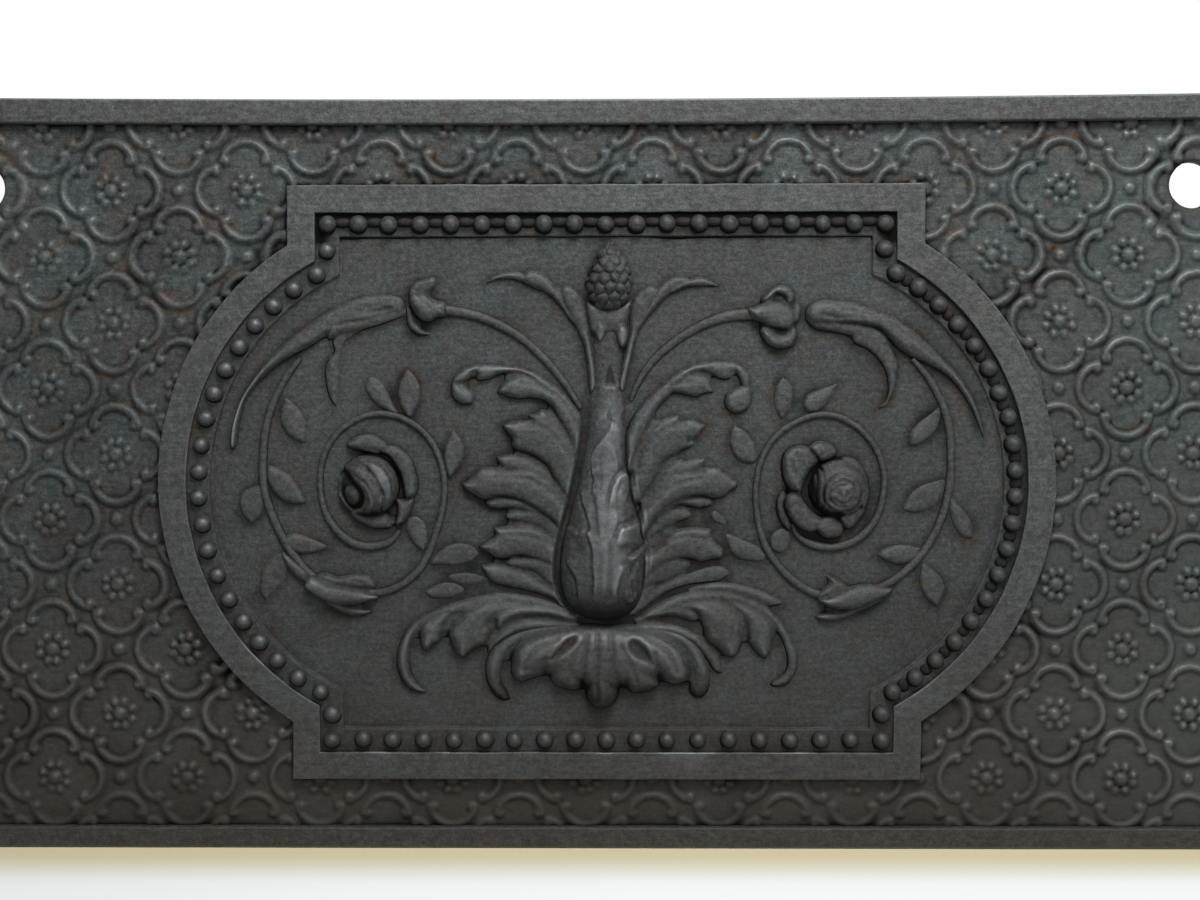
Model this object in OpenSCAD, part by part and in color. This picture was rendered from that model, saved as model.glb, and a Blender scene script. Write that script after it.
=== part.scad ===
/* [Plate] */
// Overall width of the plate
plate_w = 690; // [640:5:760]
// Overall height of the plate
plate_h = 375.5; // [360:0.5:420]
// Thickness of the plate's web
plate_t = 8; // [7:0.5:12]
// How far the rims stand in front of the ground
rim_proud = 5; // [3:0.5:8]
// Height of the top rim
rim_top_h = 12; // [8:0.5:16]
// Height of the bottom rim
rim_bottom_h = 10.5; // [8:0.5:16]
// Width of the rim at each end
rim_end_w = 12; // [8:0.5:16]
// Depth of the stiffening flange behind the web
flange_d = 22; // [16:1:30]
// Thickness of the stiffening flange
flange_t = 10; // [6:0.5:14]

/* [Hanging holes] */
// Diameter of the two hanging holes
hang_hole_d = 23; // [16:0.5:28]
// Distance between the hanging holes
hang_spacing = 600; // [560:5:620]
// Distance of the hanging holes below the top edge
hang_drop = 44.5; // [30:0.5:70]

/* [Diaper ground] */
// Column pitch of the lattice
lattice_x = 33.6; // [32:0.2:38]
// Row pitch of the lattice
lattice_z = 32.75; // [32:0.25:38]
// Height of the lattice's base row above the bottom edge
lattice_base_z = 34.7; // [30:0.1:40]
// Radius of a scroll's centreline
scroll_r = 11.5; // [9:0.25:12.5]
// Distance from a rosette's centre to a scroll's centre
scroll_reach = 12.5; // [12:0.25:14]
// Half the width of a scroll's rope
scroll_rope_r = 2.1; // [1.4:0.1:2.4]
// Angle that a scroll opens to each side of its outward direction
scroll_half_angle = 78; // [60:1:82]
// Diameter of a rosette
rosette_d = 16; // [12:0.5:18]
// Height of a rosette
rosette_h = 2.8; // [1.5:0.1:4]
// Diameter of a pearl
pearl_d = 6.5; // [4:0.5:8]

/* [Cartouche] */
// Overall width of the cartouche across its round sides
cart_w = 446.8; // [430:0.2:460]
// Overall height of the cartouche
cart_h = 297; // [280:1:310]
// Width between the square corners
cart_corner_w = 315; // [290:1:340]
// Straight side below each square corner
cart_corner_side = 29.5; // [24:0.5:36]
// Sideways offset of the cartouche from the plate's middle
cart_shift = 10.4; // [-14:0.2:14]
// Distance of the cartouche's middle below the middle between the rims
cart_drop = 3.6; // [-4:0.1:8]
// Width of the flat frame band
band_w = 14; // [12:0.5:18]
// How far the frame band stands in front of the ground
band_proud = 5; // [4:0.5:8]
// Width of the bead ledge inside the band
ledge_w = 11.5; // [11:0.5:14]
// How far the bead ledge stands in front of the ground
ledge_proud = 3; // [2:0.25:3.5]
// How far the field stands in front of the ground
field_proud = 1.5; // [0.5:0.25:1.75]
// Depth of the pocket that the cartouche is let into
pocket_d = 4; // [3:0.25:5]
// Gap all round between the frame, its pocket and the panel
seat_gap = 0.3; // [0.2:0.05:0.6]

/* [Beads] */
// Diameter of a bead
bead_d = 10; // [7:0.5:10.5]
// Pitch of the beads along the straight rows
bead_pitch = 15.2; // [12:0.1:20]
// Pitch of the beads along the round sides
bead_arc_pitch = 12.8; // [12:0.1:20]

/* [Ornament] */
// Radius of the baluster's bulb
bulb_r = 22; // [18:0.5:26]
// How far the bulb stands in front of the ground
bulb_proud = 18; // [14:0.5:22]
// Stretch of the bulb and its neck against the rest of the ornament
baluster_stretch = 1; // [0.95:0.01:1.04]
// Height of the pine cone finial
cone_h = 34; // [28:1:36]
// Radius of the pine cone finial
cone_r = 12; // [9:0.5:14]
// How far a rose stands in front of the ground
rose_proud = 16; // [12:0.5:18]
// Radius of a rose's cup
rose_cup_r = 15; // [12:0.5:17]
// Radius of a rose's back petals
rose_petal_r = 21; // [19:0.5:23]
// Rise of a leaf above the field
leaf_rise = 4; // [2:0.25:6]
// Rise of a stem above the field
stem_rise = 3.2; // [2:0.2:5]
// Rise of the acanthus leaves above the field
acanthus_rise = 6; // [3:0.5:9]
// Rise of the palmette's lobes above the field
palmette_rise = 10; // [6:0.5:13]

/* [Fasteners] */
// Diameter of a stud
stud_d = 8; // [6:0.5:10]
// Depth of a stud in the piece that it holds
stud_seat = 6; // [4:0.5:7]
// Length of a stud past its nut
stud_end = 2; // [1:0.5:4]
// Width of a nut across its flats
nut_flats = 13; // [12:0.5:16]
// Height of a nut
nut_h = 6.5; // [5:0.5:8]
// Diameter of a washer
washer_d = 18; // [17:0.5:22]
// Thickness of a washer
washer_t = 1.6; // [1:0.2:3]
// Radial clearance of a stud in its hole
hole_gap = 0.5; // [0.3:0.1:1]
// Radial clearance of a stud in its tapped seat, its nut and its washer
thread_gap = 0.1; // [0.05:0.05:0.2]
// Distance between the middle of the panel and the upper and lower frame studs
frame_stud_x = 100; // [60:5:130]

/* [Hidden] */
$fn = 48;

front_reach = max(bulb_proud, rose_proud, rim_proud, band_proud);
back_reach = plate_t + flange_d;
ground_y = (front_reach - back_reach) / 2;
tiny = 0.01;

// The hanging holes follow the top edge, and the cartouche the opening between the rims
hang_z = plate_h - hang_drop;
cart_z = (rim_bottom_h + plate_h - rim_top_h) / 2 - cart_drop;

// The cartouche's round sides pass through the side's middle and the notches
bulge = (cart_w - cart_corner_w) / 2;
notch_z = cart_h / 2 - cart_corner_side;
side_r = (bulge * bulge + notch_z * notch_z) / (2 * bulge);
side_cx = cart_w / 2 - side_r;
panel_inset = band_w + seat_gap;
field_inset = band_w + ledge_w;
bead_inset = panel_inset + (ledge_w - seat_gap) / 2;

// The foliage is drawn for a field of this size and follows the real field
drawn_field_w = 395.8;
drawn_field_h = 246;
fit_x = (cart_w - 2 * field_inset) / drawn_field_w;
fit_z = (cart_h - 2 * field_inset) / drawn_field_h;

// The lattice's columns run from the plate's middle, and its rows from the base row
column_n = ceil(plate_w / 2 / lattice_x);
row_n = ceil((plate_h - lattice_base_z) / lattice_z);

// The drawn places of the turned pieces, fitted to the field
bulb_axis = bulb_proud - bulb_r;
baluster_foot = -69 * fit_z;
baluster_h = 147.5 * fit_z * baluster_stretch;
bulb_stud_z = -38 * fit_z;
neck_stud_z = 20 * fit_z;
cone_x = 1.5 * fit_x;
cone_foot = 87 * fit_z;
rose_left_at = [-118 * fit_x, -fit_z];
rose_right_at = [114 * fit_x, -2 * fit_z];
stud_back = plate_t + washer_t + nut_h + stud_end;
frame_stud_at = [
  for (sx = [-1, 1], sz = [-1, 1]) [sx * frame_stud_x, sz * (cart_h - band_w) / 2],
  for (sx = [-1, 1]) [sx * (cart_w - band_w) / 2, 0]
];
ornament_stud_at = [[0, bulb_stud_z], [0, neck_stud_z], rose_left_at, rose_right_at];
stud_at = concat(frame_stud_at, ornament_stud_at);

// Foliage strokes: [rise factor, [[x, z, half width], ...]] from the field's middle
sprig_left_strokes = [
  [0.8, [[-5, 44, 1.6], [-7, 60, 2], [-11, 75, 2.2], [-15, 86, 1.6]]],
  [1, [[-10, 72, 1.5], [-12.5, 83, 4], [-16, 92, 4.3], [-20.5, 97.5, 1]]],
  [1, [[-18, 86, 1], [-25, 94, 3.6], [-32, 101, 3.4], [-40, 105.5, 0.8]]],
  [0.9, [[-32, 98, 1], [-42, 102.5, 2.4], [-52, 103.5, 2], [-61, 99, 0.7]]]
];
sprig_right_strokes = [
  [0.8, [[6, 44, 1.6], [9, 60, 2], [12, 75, 2.2], [16, 84, 1.6]]],
  [1, [[12, 74, 1.5], [14, 83, 4.2], [19, 91.5, 4], [25, 96.5, 1]]],
  [1, [[20, 86, 1], [28, 94, 3.5], [36, 99.5, 3], [45, 102.5, 0.9]]],
  [0.9, [[36, 98, 1], [46, 100.5, 2.2], [56, 98, 0.7]]]
];
crook_left_strokes = [
  [1, [[-12.5, 38, 1.4], [-20, 50, 2.2], [-30, 62, 2.5], [-42, 73, 2.6],
       [-55, 80.5, 2.8], [-68, 85, 3], [-81, 87, 3]]]
];
crook_right_strokes = [
  [1, [[12.5, 42, 1.4], [18, 54, 2.2], [27, 65, 2.5], [38, 73.5, 2.6],
       [50, 80, 2.9], [61, 83.5, 3.4], [73, 84.5, 3.8]]]
];
knot_left_strokes = [
  [1.2, [[-81, 84, 1.5], [-87, 88, 5], [-93, 91.5, 5.4], [-98, 94, 2]]],
  [1, [[-84, 102, 0.8], [-90, 102.5, 1.8], [-95.5, 99, 2]]],
  [1, [[-80, 79.5, 0.8], [-88, 77.5, 2.4], [-95, 80, 2.6], [-99, 86, 2]]]
];
knot_right_strokes = [
  [1.2, [[73, 84, 2], [80, 85, 5], [86, 84.5, 6], [92, 81.5, 3]]],
  [1, [[80, 95, 0.8], [87, 95.5, 2], [92.5, 92, 2.4], [94, 87.5, 1.4]]],
  [1, [[77, 76, 0.8], [80, 71.5, 2], [86, 70, 2.6], [92.5, 73, 1.6]]]
];
husk_left_strokes = [
  [1.5, [[-101, 87, 4], [-112, 87, 6.4], [-125, 84.5, 7.4], [-138, 78.5, 7.4],
         [-150, 71, 6.4], [-161, 62.5, 4.6], [-172, 51, 4.2], [-180, 38, 4.4],
         [-184.5, 27, 3.4], [-186, 18, 0.8]]],
  [0.8, [[-118, 81, 1.6], [-130, 73.5, 3.4], [-136, 64, 3.6], [-137, 53, 3],
         [-134.5, 41, 0.8]]]
];
husk_right_strokes = [
  [1.5, [[99, 83.5, 4.4], [110, 84.5, 6.6], [123, 83, 7.2], [136, 79, 7.4],
         [149, 71.5, 6.6], [161, 64, 5.6], [172, 54, 4.6], [180, 43, 4],
         [185.5, 31, 3], [188, 19, 0.8]]],
  [0.8, [[116, 79.5, 1.6], [128, 71.5, 3.6], [137, 63.5, 3.8], [142, 54, 3],
         [141, 45, 2.4], [136, 37, 0.8]]]
];
stem_left_strokes = [
  [1, [[-152, 63, 1.6], [-160, 52, 2.2], [-166, 40, 2.4], [-169.5, 28, 2.5],
       [-171, 15, 2.5], [-171, 0, 2.5], [-168, -12, 2.5], [-163, -24, 2.5],
       [-156, -36, 2.5], [-147, -46, 2.5], [-136, -51.5, 2.5], [-122, -54.5, 2.5],
       [-110, -53.5, 2.5], [-99, -48, 2.5], [-91, -39, 2.4], [-85.5, -26, 2.2],
       [-81.5, -12, 2], [-80.5, 0, 2], [-82.5, 12, 2], [-88, 23, 2],
       [-97, 31, 2], [-108, 35, 2], [-119, 34.5, 2], [-130, 29, 2],
       [-138, 20, 2], [-142, 9, 2], [-142.5, -3, 2], [-140, -14, 2.2],
       [-134, -23.5, 2.4], [-126, -29.5, 2.6], [-117, -31, 2.6], [-108, -28.5, 2.2],
       [-103, -23, 1.4]]]
];
stem_right_strokes = [
  [1, [[152, 62, 1.6], [160.5, 52, 2.2], [167, 40, 2.4], [170.5, 28, 2.5],
       [171.5, 15, 2.5], [171, 0, 2.5], [168, -14, 2.5], [162, -28, 2.5],
       [153, -40, 2.5], [142, -49, 2.5], [130, -54, 2.5], [117, -56, 2.5],
       [104, -54.5, 2.5], [92, -47, 2.5], [82.5, -36, 2.4], [77.5, -25, 2.2],
       [75, -12, 2], [75, 0, 2], [77.5, 12, 2], [83, 22, 2],
       [92, 29.5, 2], [103, 34, 2], [114, 34, 2], [125, 28.5, 2],
       [133.5, 19, 2], [138, 7, 2], [138, -6, 2.1], [134, -18, 2.2],
       [126, -27, 2.4], [115, -31.5, 2.5], [104, -30.5, 2.4], [96, -26, 1.8],
       [93, -20, 1.2]]]
];
bud_left_strokes = [
  [1.9, [[-150, -48.5, 1.5], [-144, -50, 5.6], [-135, -52, 6.6], [-125, -54.5, 4],
         [-115, -56, 0.8]]],
  [1.1, [[-143, -47.5, 1], [-130, -46, 2], [-122, -48, 2], [-116, -51, 0.8]]],
  [0.8, [[-143, -54.5, 1], [-132, -61.5, 2], [-124, -63.5, 1.8], [-117, -62.5, 0.7]]]
];
bud_right_strokes = [
  [1.9, [[143, -51, 1.5], [136, -54, 4.4], [126, -56.5, 5], [115, -57.5, 4],
         [105, -57.5, 0.8]]],
  [1.1, [[125, -54.5, 1], [116, -50.5, 2.2], [111, -46.5, 0.8]]],
  [0.8, [[138, -56.5, 1], [123, -63.5, 2], [113, -66.5, 1.9], [105, -65.5, 0.7]]]
];
leaves_left_strokes = [
  [1, [[-105, 37, 0.8], [-110, 42, 3.8], [-115, 48.5, 3.6], [-118, 54, 0.8]]],
  [1, [[-98, 35, 0.8], [-98.5, 41, 4.3], [-98, 49, 4.2], [-98, 57, 0.7]]],
  [1, [[-79, 5, 0.8], [-76.5, 12, 4.2], [-75.5, 19, 4], [-77, 27, 0.7]]],
  [0.8, [[-163, 43, 0.8], [-158, 35.5, 3.8], [-153.5, 28, 3.8], [-149.5, 21, 0.8]]],
  [1, [[-169, 9, 0.8], [-163.5, 2, 4.4], [-157, -4, 4], [-150, -9, 0.8]]],
  [1, [[-163, -27, 0.8], [-154.5, -30.5, 3.6], [-147, -31.5, 3.2], [-139.5, -30.5, 0.8]]],
  [0.7, [[-173, -2, 0.8], [-177.5, -6, 3.2], [-179.5, -12.5, 3.2], [-177.5, -20, 0.8]]],
  [0.7, [[-160, -45, 0.8], [-165, -48.5, 3.2], [-169, -54, 3], [-172, -61, 0.8]]],
  [1, [[-100, -17, 0.8], [-96.5, -23, 3.6], [-93.5, -29, 3.2], [-91, -35, 0.8]]],
  [0.7, [[-88, -37, 0.8], [-80.5, -33.5, 3], [-73, -32.5, 3], [-66, -34.5, 0.8]]],
  [0.6, [[-90, -42, 0.8], [-85, -44, 2.8], [-80, -46.5, 2.5], [-76, -50.5, 0.8]]],
  [0.6, [[-91, -54.5, 0.8], [-86, -53, 2.2], [-80, -52.5, 2], [-73, -54, 0.7]]]
];
leaves_right_strokes = [
  [1, [[88, 33, 0.8], [87.5, 40, 4], [89, 46.5, 3.8], [92, 53, 0.8]]],
  [1, [[98, 37, 1], [103.5, 41, 4], [110, 45, 2.8], [115.5, 49, 0.6]]],
  [1, [[74, 11, 0.8], [69, 15.5, 4], [66, 21.5, 3.8], [63.5, 28, 0.8]]],
  [0.8, [[165.5, 38, 0.8], [160.5, 31.5, 4], [155.5, 25.5, 3.8], [150.5, 20, 0.8]]],
  [0.8, [[168, 1, 0.8], [160.5, -4.5, 4.2], [154, -9, 4], [147.5, -13, 0.8]]],
  [1, [[157, -34, 0.8], [149.5, -35.5, 3.8], [143, -35.8, 3.4], [136, -35, 0.8]]],
  [0.8, [[171, -6, 0.8], [174.5, -12, 3.2], [177.5, -19, 3], [181, -27, 0.8]]],
  [1, [[158, -40, 0.8], [161.5, -46, 4], [163, -53, 4], [164, -61, 0.8]]],
  [1, [[91, -23, 1], [87, -26, 3.8], [84.5, -30, 3.2], [84, -34, 0.8]]],
  [0.8, [[80, -35.5, 0.8], [72.5, -34.5, 3.4], [66, -31.5, 3.4], [60, -26, 0.8]]],
  [0.6, [[64, -23, 0.8], [59, -18.5, 2.6], [54, -12.5, 0.8]]]
];
acanthus_left_strokes = [
  [0.8, [[-14, 27, 1.5], [-21, 38, 3], [-30, 47.5, 3.4], [-42, 54.5, 3.2],
         [-54, 57.3, 3.2], [-64, 56, 3.8], [-71.5, 51, 3.6], [-73, 44.5, 3.4],
         [-68.5, 42, 1.6]]],
  [0.9, [[-15, 18, 1.5], [-21, 29, 4], [-28, 39, 5], [-37, 45.5, 5.5],
         [-46, 47.5, 4.6], [-54, 46.5, 0.9]]],
  [0.9, [[-17, 5, 2], [-23, 14, 6], [-31, 20, 7], [-40, 24.5, 6.5],
         [-47, 27.5, 4.2], [-52.5, 29, 0.9]]],
  [1, [[-20, -6, 3], [-29, -2.5, 7.5], [-40, 1.5, 9], [-52, 2.5, 7.5],
       [-62, 1.5, 5.2], [-71.5, -1, 0.9]]],
  [0.7, [[-36, 8, 2], [-45, 11.5, 3.2], [-54.5, 12.5, 0.9]]],
  [0.6, [[-35, -8.5, 2], [-46, -10.5, 2.8], [-59.5, -10, 0.9]]],
  [0.5, [[-30, -12, 2], [-40, -15.5, 2.6], [-48.5, -16.5, 0.9]]],
  [0.8, [[-24, -28, 2], [-33, -28, 5.5], [-43, -28, 7.5], [-53, -29.5, 6],
         [-63.5, -31, 0.9]]],
  [0.5, [[-30, -35, 2], [-40, -38, 2.8], [-50, -38.5, 0.9]]],
  [0.6, [[-25, -48, 2], [-36, -47.5, 4.2], [-48, -45, 4.2], [-56, -43, 2.8],
         [-62, -41.5, 0.9]]]
];
acanthus_right_strokes = [
  [0.8, [[15, 31, 1.5], [22, 42, 3], [32, 50.5, 3.6], [44, 56, 3.5],
         [56, 57.5, 3.4], [65.5, 55, 3.4], [70, 48.5, 3.4], [68.5, 41.5, 3.4],
         [63, 40.5, 1.8]]],
  [0.9, [[15, 23, 1.5], [22, 35, 4], [30, 44, 5], [39, 49, 5.3],
         [47, 48.5, 4], [53.5, 46.5, 0.9]]],
  [0.9, [[16, 9, 2], [21, 18, 5.8], [29, 24.5, 7.5], [38, 27.5, 5.8],
         [45, 28.5, 3.4], [49.5, 28.5, 0.9]]],
  [1, [[18, -8, 3], [27, -2, 7.5], [38, 2, 8.4], [50, 1.5, 7.2],
       [58, 0.5, 4.8], [65, 0, 0.9]]],
  [0.7, [[30, 7, 2], [40, 10.5, 2.8], [49, 12.5, 0.9]]],
  [0.6, [[30, -9, 2], [42, -8.5, 2.8], [53, -9.5, 0.9]]],
  [0.6, [[24, -19, 2], [33, -16.5, 3.2], [42, -14.5, 0.9]]],
  [0.8, [[25, -41, 3], [32, -34, 7], [41, -29.5, 7.5], [50, -31.5, 4.6],
         [57, -36, 0.9]]],
  [0.5, [[26, -46, 2], [34, -43.5, 2.8], [42, -40, 0.9]]]
];
droop_left_strokes = [
  [1, [[-16, -65, 2], [-26, -60.5, 3.8], [-40, -58.5, 4.6], [-58, -58, 4.8],
       [-74, -60.5, 4.5], [-87, -66, 4], [-96, -75, 3.4], [-100.5, -86, 3],
       [-99.5, -95, 2.5], [-95, -101, 1.8], [-90, -104, 0.8]]],
  [1.3, [[-50, -62, 4], [-59, -67, 7.5], [-66, -73.5, 8], [-70.5, -80.5, 5.5],
         [-72.5, -87, 1.5]]],
  [1.1, [[-71, -63, 3], [-80, -68, 5.5], [-86, -75, 5.4], [-90.5, -83, 1]]],
  [0.8, [[-20, -64, 2], [-35, -64, 2.8], [-47, -66, 3.2], [-56, -71, 1]]]
];
droop_right_strokes = [
  [1, [[15, -67, 2], [26, -61, 3.4], [40, -57.5, 4], [56, -56.5, 4.4],
       [70, -59.5, 4.4], [81.5, -66.5, 4.4], [89.5, -76, 4], [93.5, -86, 3.4],
       [92.5, -93.5, 2.6], [88, -98.5, 1.6], [83, -99.5, 0.8]]],
  [1.3, [[45, -61, 4], [53, -67, 7], [59.5, -74.5, 8], [63.5, -81.5, 5.5],
         [64, -87, 1.5]]],
  [1.1, [[64, -62, 3.4], [71, -68.5, 5.6], [76.5, -76, 5.6], [80, -86.5, 1]]],
  [0.8, [[20, -64.5, 2], [32, -64.5, 2.8], [41, -67, 3], [47.5, -72, 1]]],
  [0.6, [[44, -52.5, 0.8], [60, -51, 2.2], [76, -54.5, 2.2], [90, -60, 0.8]]]
];
palmette_strokes = [
  [1, [[-3, -71, 4], [-3.5, -82, 7], [-3.5, -95, 7.6], [-3, -105, 6], [-3, -112, 2]]],
  [0.9, [[-9, -72, 3], [-16, -82, 5], [-20, -91, 7], [-21.5, -98, 5.6], [-22, -103, 2]]],
  [0.9, [[3, -72, 3], [9, -82, 5], [13.5, -91, 7], [15.5, -98, 5.6], [16.5, -104, 2]]],
  [0.9, [[-14, -72, 2], [-27, -78, 4.6], [-35.5, -86, 6.6], [-39, -92.5, 6],
         [-41, -98.5, 2]]],
  [0.9, [[9, -72, 2], [20, -77, 4.6], [29, -85.5, 6.6], [33, -93, 6], [35, -99.5, 2]]],
  [0.6, [[-5, -71.5, 2], [-20, -72, 3], [-34, -75.5, 3.8], [-46, -82, 4.4],
         [-52.5, -92, 4.4], [-54, -101, 3.4], [-50, -107.5, 1]]],
  [0.6, [[2, -71.5, 2], [16, -72, 3], [30, -74.5, 3.8], [41, -81, 4.4],
         [47.5, -90, 4.4], [49.5, -99, 3.4], [46, -106, 1]]]
];
collar_strokes = [
  [1.2, [[-5, 82, 1.5], [-5.5, 77, 3.8], [-4, 71, 3], [-3, 66, 1]]],
  [1.2, [[7, 82, 1.5], [8.5, 76, 3.8], [7.5, 71, 3], [6, 66, 1]]],
  [1, [[1.5, 85, 2], [1.5, 78, 3], [1.5, 72, 1]]]
];
// Profile of the baluster: [share of its height, share of the bulb's radius]
baluster_profile = [
  [0.003, 0.28], [0.017, 0.5], [0.047, 0.73], [0.088, 0.9], [0.142, 0.985],
  [0.197, 1], [0.264, 0.95], [0.346, 0.83], [0.434, 0.7], [0.536, 0.6],
  [0.644, 0.535], [0.753, 0.5], [0.861, 0.47], [0.942, 0.4], [0.997, 0.3]
];
// Profile of the pine cone: [share of its height, share of its radius]
cone_profile = [
  [0, 0.3], [0.06, 0.62], [0.18, 0.9], [0.35, 1], [0.55, 0.93], [0.75, 0.7],
  [0.9, 0.42], [1, 0.12]
];

// Catmull-Rom curve through three or more points of any dimension
function curve_at(a, b, c, d, t) =
  0.5 * (2 * b + (c - a) * t + (2 * a - 5 * b + 4 * c - d) * t * t
  + (3 * b - a - 3 * c + d) * t * t * t);
function curve(p, n) = concat(
  [for (i = [0:len(p) - 2], k = [0:n - 1])
    curve_at(p[max(i - 1, 0)], p[i], p[i + 1], p[min(i + 2, len(p) - 1)], k / n)],
  [p[len(p) - 1]]
);
function widest(p) = max([for (q = p) q[2]]);

// True where a point beside the cartouche's middle lies inside its inset outline
function in_cartouche(x, z, inset) =
  (abs(x) < cart_corner_w / 2 - inset && abs(z) < cart_h / 2 - inset)
  || (abs(z) < notch_z && norm([abs(x) - side_cx, z]) < side_r - inset);

// Puts a drawing of width and height in front of the ground, from one level to another
module standing(from_level, to_level) {
  translate([0, ground_y - from_level, 0])
    rotate([90, 0, 0])
      linear_extrude(to_level - from_level)
        children();
}

// Places pieces that turn about an axis pointing out of the plate's face
module facing(x, z, level) {
  translate([x, ground_y - level, z])
    rotate([90, 0, 0])
      children();
}

module at_cartouche() {
  translate([cart_shift, 0, cart_z])
    children();
}

// Outline of the cartouche, drawn in by an inset
module cartouche_outline(inset) {
  corner_x = cart_corner_w / 2 - inset;
  r = side_r - inset;
  clip_z = sqrt(r * r - (corner_x - side_cx) * (corner_x - side_cx));
  union() {
    square([2 * corner_x, cart_h - 2 * inset], center = true);
    for (side = [-1, 1])
      intersection() {
        translate([side * side_cx, 0])
          circle(r = r, $fn = 128);
        translate([side * cart_w / 2, 0])
          square([cart_w, 2 * clip_z], center = true);
      }
  }
}

// Crowned stroke along a curve, flat behind, with pointed or blunt ends
module stroke(points, rise, steps = 2) {
  sides = 5;
  p = curve([for (q = points) [q[0] * fit_x, q[1] * fit_z, q[2] * fit_x]], steps);
  last = len(p) - 1;
  wide = widest(p);
  ring = [for (i = [0:last])
    let (
      ahead = p[min(i + 1, last)],
      behind = p[max(i - 1, 0)],
      run = [ahead[0] - behind[0], ahead[1] - behind[1]],
      side = [-run[1], run[0]] / norm(run),
      h = rise * sqrt(max(p[i][2], 0.3) / wide)
    )
    for (k = [0:sides])
      let (a = 180 * k / sides)
      [
        p[i][0] - side[0] * p[i][2] * cos(a),
        ground_y - field_proud - h * sin(a),
        p[i][1] - side[1] * p[i][2] * cos(a)
      ]
  ];
  n = sides + 1;
  skin = [for (i = [0:last - 1], k = [0:n - 1])
    let (a = i * n + k, b = i * n + (k + 1) % n)
    each [[a, b, b + n], [a, b + n, a + n]]];
  start_cap = [[for (k = [n - 1:-1:0]) k]];
  end_cap = [[for (k = [0:n - 1]) last * n + k]];
  at_cartouche()
    polyhedron(ring, concat(skin, start_cap, end_cap));
}

module strokes(list, rise, steps = 2) {
  for (s = list)
    stroke(s[1], rise * s[0], steps);
}

// Half round dome on a face
module dome(d, h) {
  rotate_extrude()
    intersection() {
      translate([0, h - (d * d / 4 + h * h) / (2 * h)])
        circle(r = (d * d / 4 + h * h) / (2 * h));
      square([d, h]);
    }
}

module hanging_hole(x) {
  facing(x, hang_z, -plate_t - tiny)
    cylinder(d = hang_hole_d, h = plate_t + 2 * tiny);
}

module stud_hole(at, from_level, to_level, d) {
  at_cartouche()
    facing(at[0], at[1], from_level)
      cylinder(d = d, h = to_level - from_level);
}

module ground_plate() {
  color("#45423d")
    difference() {
      union() {
        translate([-plate_w / 2, ground_y, 0])
          cube([plate_w, plate_t, plate_h]);
        rims(0, rim_proud, rim_end_w, rim_bottom_h, rim_top_h);
        rims(-back_reach, -plate_t, flange_t, flange_t, flange_t);
      }
      at_cartouche()
        standing(-pocket_d, tiny)
          cartouche_outline(-seat_gap);
      for (side = [-1, 1])
        hanging_hole(side * hang_spacing / 2);
      for (at = stud_at)
        stud_hole(at, -plate_t - tiny, 0, stud_d + 2 * hole_gap);
    }
}

// Four straight bars round the plate's edge
module rims(from_level, to_level, end_w, bottom_h, top_h) {
  for (side = [-1, 1])
    standing(from_level, to_level)
      translate([side * (plate_w - end_w) / 2, plate_h / 2])
        square([end_w, plate_h], center = true);
  standing(from_level, to_level)
    translate([-plate_w / 2, 0])
      square([plate_w, bottom_h]);
  standing(from_level, to_level)
    translate([-plate_w / 2, plate_h - top_h])
      square([plate_w, top_h]);
}

// True where a motif of a given reach clears the rims, the cartouche and the hanging holes
function clear_ground(x, z, reach) =
  abs(x) + reach < plate_w / 2 - rim_end_w
  && z - reach > rim_bottom_h
  && z + reach < plate_h - rim_top_h
  && !in_cartouche(x - cart_shift, z - cart_z, -reach)
  && norm([abs(x) - hang_spacing / 2, z - hang_z]) > hang_hole_d / 2 + reach;

// True where at least a part of a motif shows on the ground
function on_ground(x, z, reach) =
  abs(x) - reach / 2 < plate_w / 2 - rim_end_w
  && z + reach / 2 > rim_bottom_h
  && z - reach / 2 < plate_h - rim_top_h
  && !in_cartouche(x - cart_shift, z - cart_z, reach / 2);

// Centres of the lattice's cells; even ones hold rosettes and odd ones pearls
function cells(even) = [
  for (i = [-column_n:column_n], j = [-1:row_n])
    if (abs(i + j) % 2 == (even ? 0 : 1))
      [i * lattice_x, lattice_base_z + j * lattice_z]
];

// Places [x, z, turn] of the four scrolls round every rosette
function scroll_places() = [
  for (c = cells(true), turn = [0:90:270])
    [c[0] + scroll_reach * cos(turn), c[1] + scroll_reach * sin(turn), turn]
];

function whole(places, reach) = [for (p = places) if (clear_ground(p[0], p[1], reach)) p];
function part_hidden(places, reach) = [
  for (p = places) if (!clear_ground(p[0], p[1], reach) && on_ground(p[0], p[1], reach)) p
];

// Motifs that stop at a rim, at the cartouche or at a hanging hole
module cut_to_ground(h) {
  difference() {
    intersection() {
      union() children();
      standing(0, h)
        translate([rim_end_w - plate_w / 2, rim_bottom_h])
          square([plate_w - 2 * rim_end_w, plate_h - rim_bottom_h - rim_top_h]);
    }
    at_cartouche()
      standing(-tiny, h + tiny)
        cartouche_outline(0);
    for (side = [-1, 1])
      facing(side * hang_spacing / 2, hang_z, -tiny)
        cylinder(d = hang_hole_d, h = h + 2 * tiny);
  }
}

module scroll() {
  rotate([0, 0, -scroll_half_angle])
    rotate_extrude(angle = 2 * scroll_half_angle)
      translate([scroll_r, 0])
        intersection() {
          circle(r = scroll_rope_r, $fn = 32);
          translate([-scroll_rope_r, 0])
            square([2 * scroll_rope_r, scroll_rope_r]);
        }
}

module scrolls_at(places) {
  for (p = places)
    facing(p[0], p[1], 0)
      rotate([0, 0, p[2]])
        scroll();
}

module domes_at(places, d, h) {
  for (p = places)
    facing(p[0], p[1], 0)
      dome(d, h);
}

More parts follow.
